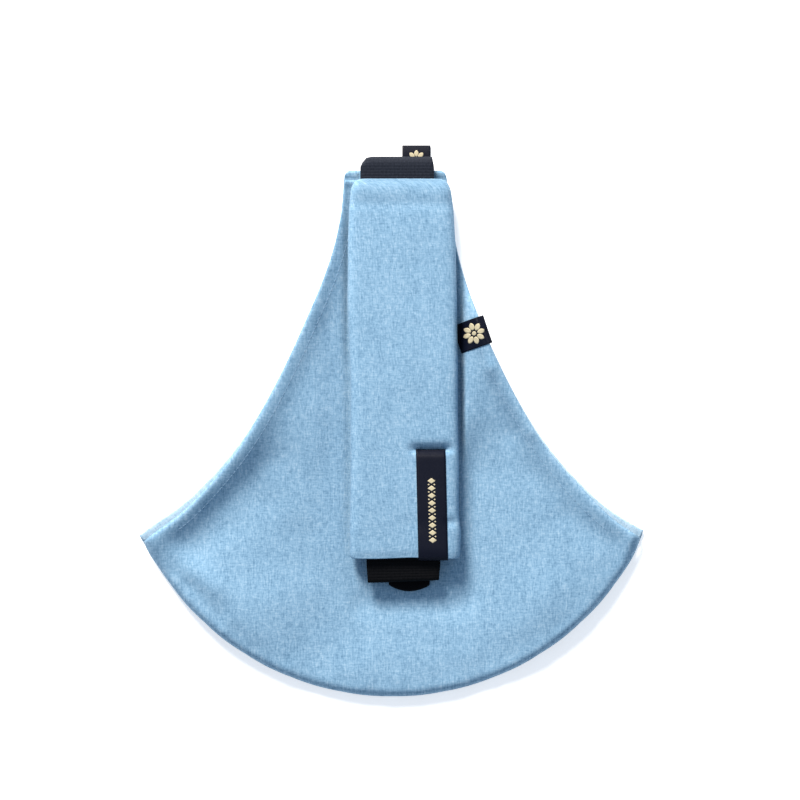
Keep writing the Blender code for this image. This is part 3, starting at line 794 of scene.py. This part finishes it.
SHOULDER_Z = BOX["shoulder_web"][1].z - WEB_THICK / 2
STRAND_Z = BOX["tail_web"][1].z + 0.3 * MM + WEB_THICK / 2
TAIL_Z = BOX["tail_web"][1].z - WEB_THICK / 2
UPPER_FOLD, UPPER_RADIUS = fold_of("rear_anchor_web", SHOULDER_Z)
INNER_LOW = BOX["front_anchor_web"][0].z + WEB_THICK / 2
INNER_RADIUS = (STRAND_Z - INNER_LOW) / 2
INNER_FOLD = (BOX["adjust_web"][1].y - WEB_THICK / 2 - INNER_RADIUS, INNER_LOW + INNER_RADIUS)
BAR_Z = (BOX["ladder_lock"][0].z + BOX["ladder_lock"][1].z) / 2
WRAP = 1.8 * MM + WEB_THICK / 2  # how far the webbing's middle is from a bar's middle
LOCK_LOW_Y = BOX["ladder_lock"][0].y
ANCHOR_Y = LOCK_LOW_Y + 4 * MM
MIDDLE_Y = LOCK_LOW_Y + 20 * MM


def drift(y):
    """The shoulder webbing's centre: the upper band's at the neck, the pad's from 20 mm inside it."""
    share = min(1.0, max(0.0, (y - PAD_TOP_Y + 20 * MM) / (20 * MM)))
    return STRAP_X + (UPPER_X - STRAP_X) * share


def strap_centre(y):
    return STRAP_X


def chamfer_fold(share, points):
    """The upper fold lies a little askew: its left corner is turned in."""
    apex = BOX["rear_anchor_web"][1].y
    near = smoothstep(apex - 9 * MM, apex, points[..., 1]) * MM
    left = np.clip((-share - 0.81) / 0.19, 0, 1)
    points[..., 1] -= 4.4 * near * left
    points[..., 0] += 0.8 * near * left - 1.2 * near * smoothstep(0.6, 1.0, share)
    return points


def slant_fold(share, points):
    """The lower fold slants: its right end is 2 mm higher, and it narrows slightly."""
    low = BOX["shoulder_web"][0].y
    near = (1.0 - smoothstep(low, low + 14 * MM, points[..., 1])) * MM
    points[..., 1] += 0.9 * near * (share + 1)
    points[..., 0] -= 0.8 * near * share
    return points


def round_loop(share, points):
    """The elastic loop's end bulges, so its lower edge is curved."""
    low = BOX["elastic_loop"][0].y
    near = (1.0 - smoothstep(low, low + 9 * MM, points[..., 1])) * MM
    points[..., 1] += 4.2 * near * share**2
    return points


def build_webbing():
    centre, radius = UPPER_FOLD, UPPER_RADIUS
    path = [
        (BOX["rear_anchor_web"][0].y, centre[1] - radius),
        *arc(centre, radius, -90, 90, 24),
        (PAD_TOP_Y - 24 * MM, SHOULDER_Z),
    ]
    upper = band("upper_band", path, drift, shape=chamfer_fold)
    finish_piece(upper, WEBBING, None, ["rear_anchor_web"])
    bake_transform(upper)

    low_strand = BAR_Z + WRAP
    low_radius = (SHOULDER_Z - low_strand) / 2
    low_centre = (BOX["shoulder_web"][0].y + WEB_THICK / 2 + low_radius, low_strand + low_radius)
    path = [
        (PAD_TOP_Y - 25 * MM, SHOULDER_Z),
        *arc(low_centre, low_radius, 90, 270, 16),
        *arc((ANCHOR_Y, BAR_Z), WRAP, 90, -90, 14),
        (LOCK_LOW_Y - 8 * MM, BAR_Z - WRAP),
    ]
    lower = band("shoulder_band", path, strap_centre, shape=slant_fold)
    # The lower fold gets the darker webbing, whose colour holds painted shade.
    finish_piece(lower, WEBBING_PAINTED_SHADE, "strap", ["shoulder_web"])

    path = [
        (BOX["front_anchor_web"][0].y, INNER_LOW),
        *arc(INNER_FOLD, INNER_RADIUS, -90, 90, 12),
        (INNER_FOLD[0] - 14 * MM, STRAND_Z),
    ]
    inner = band("inner_band", path, strap_centre)
    finish_piece(inner, WEBBING, None, ["front_anchor_web"])
    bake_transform(inner)

    build_adjusting()
    build_loop()


def build_loop():
    """The elastic loop that just shows under the lower fold."""
    low, high = BOX["elastic_loop"]
    upper_z, lower_z = high.z - 0.5 * MM, low.z + 0.5 * MM
    radius = (upper_z - lower_z) / 2
    centre = (low.y + radius + 0.5 * MM, lower_z + radius)
    path = [(high.y, upper_z), *arc(centre, radius, 90, 270, 12), (LOCK_LOW_Y - 9 * MM, lower_z)]
    elastic = band(
        "elastic_loop_band", path, lambda y: middle_x("elastic_loop"), high.x - low.x, 1.0 * MM, 0.06 * MM,
        1.0 * MM, 0.25, round_loop,
    )
    # The loop's elastic colour holds painted shade as well as the elastic's own black.
    finish_piece(elastic, ELASTIC_PAINTED_SHADE, "strap", ["elastic_loop"])


def build_adjusting():
    """The adjusting webbing from the inner fold to the lock's middle bar, and its tail."""
    over, under = BAR_Z + WRAP, BAR_Z - WRAP
    entry = [(48.0, STRAND_Z), (37.0, 8.25 * MM), (25.0, 9.25 * MM), (16.0, 9.75 * MM), (7.0, over)]
    leaving = [
        (3.5, under + 0.35 * MM), (9.0, 7.2 * MM), (13.0, 7.4 * MM), (19.0, 7.4 * MM), (25.0, 7.2 * MM),
        (32.0, 6.4 * MM), (39.5, TAIL_Z),
    ]
    path = [
        (INNER_FOLD[0] - 15 * MM, STRAND_Z),
        *[(MIDDLE_Y + dy * MM, z) for dy, z in entry],
        *arc((MIDDLE_Y, BAR_Z), WRAP, 90, 270, 16),
        *[(MIDDLE_Y + dy * MM, z) for dy, z in leaving],
    ]
    strand = band("adjusting_band", path, strap_centre, step=0.5)
    finish_piece(strand, WEBBING, "strap", ["adjust_web"])

    low, high = BOX["tail_web"][0].y, BOX["tail_web"][1].y
    tail = band("tail_band", [(low - 0.3 * MM, TAIL_Z), (high, TAIL_Z)], strap_centre, step=0.5)
    finish_piece(tail, WEBBING, None, ["tail_web"])
    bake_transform(tail)


def on_surface(flat, height, lift=0.0):
    """3-D points at each (x, y), lifted off a surface."""
    return np.array([(x, y, height(x, y) + lift) for x, y in flat if height(x, y) is not None])


def box_of_stitches(name, centre_x, low, high, z, facing=1):
    """A box of stitches on the seat, crossed by its two diagonals."""
    a, b = centre_x - BOX_HALF, centre_x + BOX_HALF
    corners = [(a, low), (b, low), (b, high), (a, high)]
    lines = [*zip(corners, corners[1:] + corners[:1]), (corners[0], corners[2]), (corners[1], corners[3])]
    rows = []
    for index, (start, end) in enumerate(lines):
        path = [(*start, z), (*((np.array(start) + end) / 2), z), (*end, z)]
        rows.append(stitches(f"{name}_{index}", path, "seat", BLACK_THREAD, 2.2, 0.5, 0.16, 0.0, facing))
    return rows


def build_keeper():
    """The elastic ring round the strand and the tail: a flat band whose corners are soft."""
    low, high = BOX["keeper"]
    thick = 0.7 * MM
    corner = 1.0 * MM
    centre = ((low.x + high.x) / 2, (low.z + high.z) / 2)
    middle, half_y = (low.y + high.y) / 2, (high.y - low.y) / 2
    flat = np.array([(high.x - low.x - thick) / 2 - corner, (high.z - low.z - thick) / 2 - corner])
    loop = []
    for sx, sz, start in ((1, 1, 0), (-1, 1, 90), (-1, -1, 180), (1, -1, 270)):
        for turn in np.radians(np.linspace(start, start + 90, 7)):
            direction = np.array([math.cos(turn), math.sin(turn)])
            loop.append((flat * (sx, sz) + corner * direction, direction))
    section = [
        (-1, -0.5), (-1, 0.5), (-0.96, 0.95), *[(s, 1.0) for s in np.linspace(-0.9, 0.9, 19)],
        (0.96, 0.95), (1, 0.5), (1, -0.5), (0.9, -0.95), (0, -1.0), (-0.9, -0.95), (-1, -0.5),
    ]
    rows = []
    for along, out in section:
        rib = 0.06 * MM * math.cos(along * math.pi * 10) if out == 1.0 else 0.0
        around = [centre + p + d * (out * thick / 2 + rib) for p, d in loop]
        rows.append([(x, middle + along * half_y, z) for x, z in around])
    ring = add_grid("keeper_elastic", np.array(rows), closed=True)
    clean_up(ring.data)
    finish_piece(ring, ELASTIC_PAINTED_SHADE, "keeper", ["keeper"])
    path = [(centre[0] + 14 * MM, y, high.z) for y in np.linspace(low.y + 1 * MM, high.y - 1 * MM, 6)]
    stitches("keeper_seam", path, "keeper", BLACK_THREAD, 1.4, 0.3, 0.16, 0.0)


def clean_up(mesh, flatten=False):
    """Welds a mesh. With flatten, faces in one plane become one; without it, its faces are turned outward."""
    bm = bmesh.new()
    bm.from_mesh(mesh)
    bmesh.ops.remove_doubles(bm, verts=bm.verts, dist=1e-6)
    if flatten:
        bmesh.ops.dissolve_limit(bm, angle_limit=math.radians(2), verts=bm.verts, edges=bm.edges)
    else:
        bmesh.ops.recalc_face_normals(bm, faces=bm.faces)
    bm.to_mesh(mesh)
    bm.free()


def build_lock():
    """The ladder lock's moulding: the frame's own shape with its edges softened, and ribs on its tab."""
    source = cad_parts["ladder_lock"]
    mesh = source.data.copy()
    mesh.transform(source.matrix_world)
    clean_up(mesh, flatten=True)
    lock = add_object("ladder_lock_moulding", mesh)
    bevel = lock.modifiers.new("soft_edges", "BEVEL")
    bevel.width = 0.4 * MM
    bevel.segments = 3
    bevel.limit_method = "ANGLE"
    bevel.angle_limit = math.radians(35)
    bevel.harden_normals = True
    finish_piece(lock, PLASTIC, "strap", ["ladder_lock"])
    low, high = BOX["ladder_lock"]
    rib_x = middle_x("ladder_lock") + np.linspace(-1, 1, 5) * 10.5 * MM
    verts, faces = [], []
    for y in np.arange(high.y - 7.4 * MM, high.y - 1.6 * MM, 1.7 * MM):
        first = len(verts)
        for turn in np.linspace(0, math.pi, 7):
            rib_y = y - 0.42 * MM * math.cos(turn)
            rib_z = low.z + (1.9 + 0.34 * math.sin(turn)) * MM
            verts += [(x, rib_y, rib_z) for x in rib_x]
        for row in range(first, first + 30, 5):
            faces += [(row + k, row + k + 1, row + k + 6, row + k + 5) for k in range(4)]
    grips = thicken(add_mesh("ladder_lock_grips", verts, faces), 0.1 * MM, -1)
    finish_piece(grips, PLASTIC, "strap")


def build_thread_work(front):
    """Visible rows of stitches: the leg hems, the ends of the webbing and the pad's lower seam."""
    height = height_of(front)
    for label, panel in (("front", FRONT), ("rear", REAR)):
        for side, edge in (("left", panel.left), ("right", panel.right)):
            name = f"{label}_hem_stitches_{side}"
            curve = resample(edge, 240)
            curve = curve[(curve[:, 1] > SEAT_Y + 120 * MM) & (curve[:, 1] < SEAT_Y + 338 * MM)]
            line = curve + inward(curve) * 7.6 * MM
            if panel is FRONT:
                stitches(name, on_surface(line, height, 0.06 * MM), "seat", BLUE_THREAD)
            else:
                path = np.column_stack([line, rear_height(line) - CLOTH / 2])
                stitches(name, path, "seat", BLUE_THREAD, radius=0.16, lift=0.0, facing=-1)
    low, high = BOX["front_anchor_stitches"]
    for row in box_of_stitches("front_anchor_thread", STRAP_X, low.y + 0.5 * MM, high.y - 0.5 * MM, low.z):
        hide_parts("front_anchor_stitches")
    bottom = BOX["rear_anchor_web"][0].y
    box_of_stitches("rear_anchor_thread", UPPER_X, bottom + 3 * MM, bottom + 19 * MM, 0.0, -1)
    end = BOX["tail_web"][1]
    for name, inset in (("2", 2.5), ("9", 9.5)):
        across = np.linspace(STRAP_X - 23 * MM, STRAP_X + 23 * MM, 8)
        path = [(x, end.y - inset * MM, end.z) for x in across]
        stitches("tail_end_stitches_" + name, path, "tail", BLACK_THREAD, 2.2, 0.5, 0.14, 0.0)
    for offset in (0, 3):
        along = np.linspace(PAD_LOW_Y + 4 * MM, PAD_TOP_Y - 4 * MM, 40)
        path = [(STRAP_X + (24 + offset) * MM, y, PAD_UNDER_Z + 0.02 * MM) for y in along]
        stitches(f"pad_seam_stitches_{offset}", path, "strap", BLUE_THREAD, facing=-1, lift=0.0)


# ---------------------------------------------------------------- the shoulder pad

# Right half of the pad's section, in mm from its centre line, from under its middle round to the top
PAD_SECTION = [
    (0, 11.2), (14, 11.2), (27, 11.25), (31, 10.9), (34.2, 8.7), (36.0, 7.6), (37.0, 8.6), (37.2, 11.0),
    (37.0, 13.6), (36.2, 15.9), (34.5, 17.6), (31.5, 18.6), (27.0, 19.0), (18.0, 19.15), (8.0, 19.2),
    (0, 19.2),
]
# Left and right edges of the pad against its height above the seat's lowest point, in mm
PAD_EDGES = [
    (94, -28.6, 45.2), (112, -29.0, 46.0), (124, -28.6, 44.6), (160, -28.2, 44.6), (205, -28.4, 44.2),
    (270, -30.2, 43.8), (305, -30.2, 43.0), (330, -29.4, 41.0), (354, -27.4, 38.4),
]
PAD_CORNER = 9.0 * MM
PAD_HALF = 37.0 * MM
PAD_WALL = 1.3 * MM
PAD_POINTS = 120
LABEL_TOP_Y = BOX["pad_label"][1].y
LABEL_LEAN = math.radians(1.3)
LABEL_LIFT = 0.32 * MM
SIDE_LABEL_TURN = math.radians(18.7)
SLIT_DEPTH = 3.1  # in mm


def pad_ring(y):
    """The pad's section at a height: points round it, from under its middle, first to the right."""
    heights, left, right = np.array(PAD_EDGES).T * MM
    left, right = (np.interp(y, heights + SEAT_Y, edge) for edge in (left, right))
    centre, half = (left + right) / 2, (right - left) / 2
    for depth, corner in ((PAD_TOP_Y - y, PAD_CORNER), (y - PAD_LOW_Y, 0.25 * PAD_CORNER)):
        half -= 0.55 * corner * (1 - rounded_rise(depth, corner))
    right_half = np.array(PAD_SECTION) * MM
    loop = np.concatenate([right_half, right_half[-2:0:-1] * (-1, 1), right_half[:1]])
    ring = resample(loop, PAD_POINTS + 1)[:-1]
    return np.column_stack([centre + ring[:, 0] * half / PAD_HALF, np.full(PAD_POINTS, y), ring[:, 1]])


def slit(x, y):
    """Depth of the crease where the long label is sewn into the cover, as a share of SLIT_DEPTH."""
    off = (y - LABEL_TOP_Y) / MM - 0.2
    from_left, from_right = ((x - corner.x) / MM for corner in BOX["pad_label"])
    depth = np.where(off > 0, bell(off, 3.8), bell(off, 2.2))
    wide = smoothstep(-8, 1, from_left) * (1 - smoothstep(-1, 7, from_right))
    narrow = smoothstep(-2, 1, from_left) * (1 - smoothstep(-2, 1, from_right))
    return depth * wide + 0.5 * bell(off, 1.1) * narrow


def pad_relief(points):
    """How far the pad's cover stands out at each point, in mm: its softness, its stitches and its label."""
    x, y = points[..., 0], points[..., 1]
    top = smoothstep(14, 17.5, points[..., 2] / MM)
    from_top = (PAD_TOP_Y - y) / MM
    end = np.minimum(from_top, (y - PAD_LOW_Y) / MM)
    relief = 0.5 * ripple(points, 44, 5) + 0.16 * ripple(points, 13, 6)
    relief += 0.35 * ripple(points * (1.0, 0.25, 0.4), 7, 8) * bell(end, 9)
    dents = 0.8 * bell(end, 3.2) + SLIT_DEPTH * slit(x, y)
    dents += 0.45 * bell(from_top - 17, 4) - 0.35 * bell(from_top - 8, 5)
    # A notch to the right of the long label and a pull to its left, where the cover is stitched down
    from_left, from_right = ((x - corner.x) / MM for corner in BOX["pad_label"])
    height = (y - SEAT_Y) / MM
    dents += 0.35 * bell(np.hypot((from_left + 2) * 0.6, height - 118.0), 6)
    return relief - dents * top - 1.5 * bell(np.hypot(from_right - 2.6, (height - 119.5) * 1.2), 3.4)


def grid_normals(points):
    """Normals of a grid whose rows are closed."""
    along = np.gradient(points, axis=0)
    across = np.roll(points, -1, axis=1) - np.roll(points, 1, axis=1)
    normal = np.cross(across, along)
    return normal / np.maximum(np.linalg.norm(normal, axis=2), 1e-9)[..., None]


def build_pad():
    ends = np.array([0, 0.5, 1.1, 1.9, 2.9, 4.2]) * MM
    heights = np.concatenate([
        PAD_LOW_Y + ends,
        np.arange(PAD_LOW_Y + 5.6 * MM, LABEL_TOP_Y - 5 * MM, 1.3 * MM),
        np.arange(LABEL_TOP_Y - 4.6 * MM, LABEL_TOP_Y + 6 * MM, 0.45 * MM),
        np.arange(LABEL_TOP_Y + 7 * MM, PAD_TOP_Y - 5 * MM, 1.3 * MM),
        PAD_TOP_Y - ends[::-1],
    ])
    outer = np.array([pad_ring(y) for y in heights])
    normal = grid_normals(outer)
    if (normal * (outer - outer.mean(axis=1, keepdims=True))).sum() < 0:
        normal = -normal
    normal[..., 1] = 0
    outer = outer + normal * pad_relief(outer)[..., None] * MM
    arch = bell(outer[..., 0] - 14 * MM, 16 * MM) * np.exp(-(outer[..., 1] - PAD_LOW_Y) / (14 * MM))
    outer[..., 1] += 0.9 * MM * arch

    def lip(row, side):
        """The end's rounded fold and the hem behind it, which runs back inside."""
        rings = []
        for inset, depth in ((0.5, -0.35), (1.0, 0.3), (1.0, 4.0), (1.0, 15.0)):
            ring = outer[row] - normal[row] * PAD_WALL * inset
            ring[:, 1] += side * depth * MM
            rings.append(ring)
        return rings

    points = np.array([*lip(0, 1)[::-1], *outer, *lip(-1, -1)])
    pad = finer(add_grid("pad_cover", points, closed=True))
    finish_piece(pad, DENIM, "strap", ["pad_top_cover", "pad_bottom_cover"])
    return pad


def build_foam():
    low, high = BOX["pad_foam"]
    turns = np.linspace(0, 2 * math.pi, 241)
    c, s = np.cos(turns), np.sin(turns)
    bulge = 0.5 + 0.5 * np.sign(s) * np.abs(s) ** 0.6 * (1 - 0.25 * np.abs(c) ** 6)
    half = (high.x - low.x) / 2
    outline = np.column_stack([half * np.sign(c) * np.abs(c) ** 0.35, (high.z - low.z) * 0.92 * bulge])
    outline = resample(outline, 97)[:-1]
    sections = []
    for share in np.linspace(0, 1, 200):
        y = low.y + (high.y - low.y) * share
        x = middle_x("pad_foam") + math.sqrt(min(1.0, 0.55 + 18 * min(share, 1 - share))) * outline[:, 0]
        near = [slit(x + dx * MM, y + dy * MM) for dx in (-2, 0, 2) for dy in (-1.6, 0, 1.6)]
        squeeze = np.maximum(0.06, 1.0 - 0.95 * np.max(near, axis=0))
        sections.append(np.column_stack([x, np.full(len(x), y), low.z + outline[:, 1] * squeeze]))
    foam = add_grid("pad_foam_core", np.array(sections), closed=True, caps=True)
    finish_piece(foam, FOAM, "strap", ["pad_foam"])


def label_x(y):
    """The long label's middle at a height: the label leans, turned about its top."""
    return middle_x("pad_label") - (y - LABEL_TOP_Y) * math.tan(LABEL_LEAN) - 0.9 * MM


def build_pad_label(pad):
    height = height_of(pad)
    edge = PAD_LOW_Y + 1.7 * MM
    rows = []
    for y in np.linspace(LABEL_TOP_Y + 0.3 * MM, edge, 110):
        across = label_x(y) + np.linspace(-10, 10, 15) * MM
        rows.append([(x, y, (height(x, y) or PAD_CROWN_Z) + LABEL_LIFT) for x in across])
    last = rows[-1]
    radius = 2.9 * MM
    for turn in np.radians(np.linspace(10, 85, 8)):
        back = radius * math.sin(turn)
        drop = radius * (1 - math.cos(turn)) + 0.25 * MM * math.sin(turn)
        rows.append([(x + back * math.tan(LABEL_LEAN), y - back, z - drop) for x, y, z in last])
    points = np.array(rows)
    z = points[..., 2]
    for _ in range(3):
        z[2:-2] = (z[1:-3] + z[2:-2] + z[3:-1]) / 3
    label = thicken(add_grid("pad_label_satin", points), 0.3 * MM)
    return finish_piece(label, LABEL, "strap", ["pad_label"])


def patterned(name, outlines, surface, body, thick=0.12 * MM):
    """Woven shapes: each outline, in x and y, becomes a thin raised patch that follows the piece below it."""
    height = height_of(surface)
    verts, faces = [], []
    rings = ((1.0, 0.0), (0.92, thick), (0.62, thick), (0.3, thick))
    for outline in outlines:
        centre = np.mean(outline, axis=0)
        first, count = len(verts), len(outline)
        for grow, level in rings:
            for x, y in centre + (np.array(outline) - centre) * grow:
                verts.append((x, y, (height(x, y) or 0.0) + level))
        middle = len(verts)
        verts.append((*centre, (height(*centre) or 0.0) + thick))
        last = middle - count
        for k in range(count):
            after = (k + 1) % count
            for low in range(first, last, count):
                faces.append((low + k, low + after, low + count + after, low + count + k))
            faces.append((last + k, last + after, middle))
    uvs = [verts[i][:2] for face in faces for i in face]
    return finish_piece(add_mesh(name, verts, faces, uvs), GOLD, body)


def lozenge(x, y, half_width, half_height):
    corners = [(1, 0), (0.5, 0.5), (0, 1), (-0.5, 0.5), (-1, 0), (-0.5, -0.5), (0, -1), (0.5, -0.5)]
    return [(x + half_width * across, y + half_height * up) for across, up in corners]


def petal(centre, angle, near, far, width):
    """A pointed oval that leaves centre at an angle."""
    turns = np.linspace(0, 2 * math.pi, 16, endpoint=False)
    along = (near + far) / 2 - (far - near) / 2 * np.cos(turns)
    across = width / 2 * np.sin(turns) * np.abs(np.sin(turns)) ** 0.3
    c, s = math.cos(angle), math.sin(angle)
    return np.column_stack([centre[0] + along * c - across * s, centre[1] + along * s + across * c])


def rosette(centre, radius, turn):
    """Eight petals round a disc."""
    angles = [turn + 2 * math.pi * k / 8 for k in range(8)]
    outlines = [petal(centre, angle, 0.3 * radius, radius, 0.46 * radius) for angle in angles]
    turns = np.linspace(0, 2 * math.pi, 14, endpoint=False)
    outlines.append(np.column_stack([np.cos(turns), np.sin(turns)]) * 0.2 * radius + centre)
    return outlines


def decorate_pad_label(label):
    """A plain column of lozenges with two small ones between each pair."""
    outlines = []
    heights = SEAT_Y + np.linspace(107.5, 147.5, 9) * MM
    for index, y in enumerate(heights):
        outlines.append(lozenge(label_x(y), y, 2.7 * MM, 1.9 * MM))
        if index < len(heights) - 1:
            middle = (y + heights[index + 1]) / 2
            for side in (-1, 1):
                outlines.append(lozenge(label_x(middle) + side * 1.9 * MM, middle, 0.75 * MM, 0.6 * MM))
    patterned("pad_label_pattern", outlines, label, "strap")


def build_side_label(front):
    """The small label that wraps the right leg edge, turned to lie square to it."""
    height = height_of(front)
    low, high = BOX["side_label"]
    centre = np.array([(low.x + high.x) / 2, (low.y + high.y) / 2])
    across = np.array([math.cos(SIDE_LABEL_TURN), math.sin(SIDE_LABEL_TURN)])
    up = np.array([-across[1], across[0]])
    rows = []
    for v in np.linspace(-9.8, 9.8, 24) * MM:
        row = []
        for u in np.linspace(-11.0, 10.6, 26) * MM:
            x, y = centre + across * u + up * v
            z = height(x, y)
            if z is None:  # past the cloth's edge, where the label turns down
                z = row[-1][2] - LABEL_LIFT - 0.5 * MM if row else FRONT_TOP
            row.append((x, y, z + LABEL_LIFT))
        rows.append(row)
    uv = np.stack(np.meshgrid(np.linspace(-11, 11, 26) * MM, np.linspace(-9.8, 9.8, 24) * MM), axis=-1)
    label = thicken(add_grid("side_label_satin", np.array(rows), uv), 0.35 * MM)
    finish_piece(label, LABEL, "seat", ["side_label"])
    shapes = rosette(centre + across * 0.8 * MM, 7.4 * MM, SIDE_LABEL_TURN)
    patterned("side_label_pattern", shapes, label, "seat", 0.2 * MM)


def build_flag_and_care():
    low, high = BOX["flag_label"]
    z0, z1 = low.z + 0.15 * MM, high.z - 0.1 * MM
    radius = (z1 - z0) / 2
    path = [(low.y, z0), *arc((high.y - radius - 0.15 * MM, z0 + radius), radius, -90, 90, 8), (low.y, z1)]
    middle = middle_x("flag_label")
    width = high.x - low.x
    flag = band("flag_label_satin", path, lambda y: middle, width, 0.3 * MM, rib=0.0, step=0.4, columns=20)
    finish_piece(flag, LABEL, "seat", ["flag_label"])
    centre = (middle, BOX["rear_anchor_web"][1].y - 1.2 * MM)
    patterned("flag_label_pattern", rosette(centre, 6.4 * MM, math.pi / 2), flag, "seat")

    low, high = BOX["care_label"]
    z0, z1 = low.z + 0.1 * MM, high.z
    turned = arc((high.y - 0.3 * MM, (z0 + z1) / 2), (z1 - z0) / 2, -90, 90, 6)
    path = [(low.y, z0), *turned, (low.y + 1 * MM, z1)]
    middle = middle_x("care_label")
    care = band("care_label_tape", path, lambda y: middle, high.x - low.x, 0.14 * MM, rib=0.0, step=0.6)
    finish_piece(care, CARE, "seat", ["care_label"])


# ---------------------------------------------------------------- the room


def build_room():
    """A pale floor under a soft sky, and one large lamp to the upper left."""
    floor = add_mesh("floor", [(-30, -30, 0), (30, -30, 0), (30, 30, 0), (-30, 30, 0)], [(0, 1, 2, 3)])
    floor.location.z = -0.4 * MM
    shader = Shader("floor_white", 0.9, specular=0.1)
    grain = shader.noise(shader.place(), 30.0, 2.0, 0.5)
    shader.colours(grain, (0.0, (0.84, 0.84, 0.84)), (1.0, (0.87, 0.87, 0.87)))
    shader.set("Emission Color", (1, 1, 1))
    shader.set("Emission Strength", 0.5)
    floor.data.materials.append(shader.material)

    scene = bpy.context.scene
    scene.world = scene.world or bpy.data.worlds.new("studio")
    scene.world.use_nodes = True
    sky = scene.world.node_tree.nodes["Background"]
    sky.inputs["Color"].default_value = (*SKY_COLOUR, 1)
    sky.inputs["Strength"].default_value = SKY_STRENGTH
    scene.view_settings.view_transform = "Standard"

    key = bpy.data.lights.new("key", "AREA")
    key.shape = "DISK"
    key.size = KEY_SIZE
    key.energy = KEY_ENERGY
    key.color = KEY_COLOUR
    lamp = bpy.data.objects.new("key", key)
    lamp.location = KEY_DISTANCE * Vector((
        -math.sin(KEY_AZIMUTH) * math.cos(KEY_HEIGHT),
        math.cos(KEY_AZIMUTH) * math.cos(KEY_HEIGHT),
        math.sin(KEY_HEIGHT),
    ))
    lamp.rotation_euler = (-lamp.location).to_track_quat("-Z", "Y").to_euler()
    scene.collection.objects.link(lamp)


def build_camera():
    """Straight above the sling, far enough for its flat parts to keep their shape."""
    camera = bpy.data.cameras.new("camera")
    camera.lens = 85.0
    camera.sensor_width = 36.0
    distance_up = WIDTH_SEEN * camera.lens / camera.sensor_width
    obj = bpy.data.objects.new("camera", camera)
    obj.location = (5.1 * MM, SEAT_Y + 202.0 * MM, 8 * MM + distance_up)
    bpy.context.scene.collection.objects.link(obj)
    bpy.context.scene.camera = obj


def main():
    build_camera()
    build_room()
    front = build_seat()
    build_webbing()
    build_lock()
    build_keeper()
    build_thread_work(front)
    build_side_label(front)
    build_flag_and_care()
    pad = build_pad()
    build_foam()
    label = build_pad_label(pad)
    decorate_pad_label(label)


main()
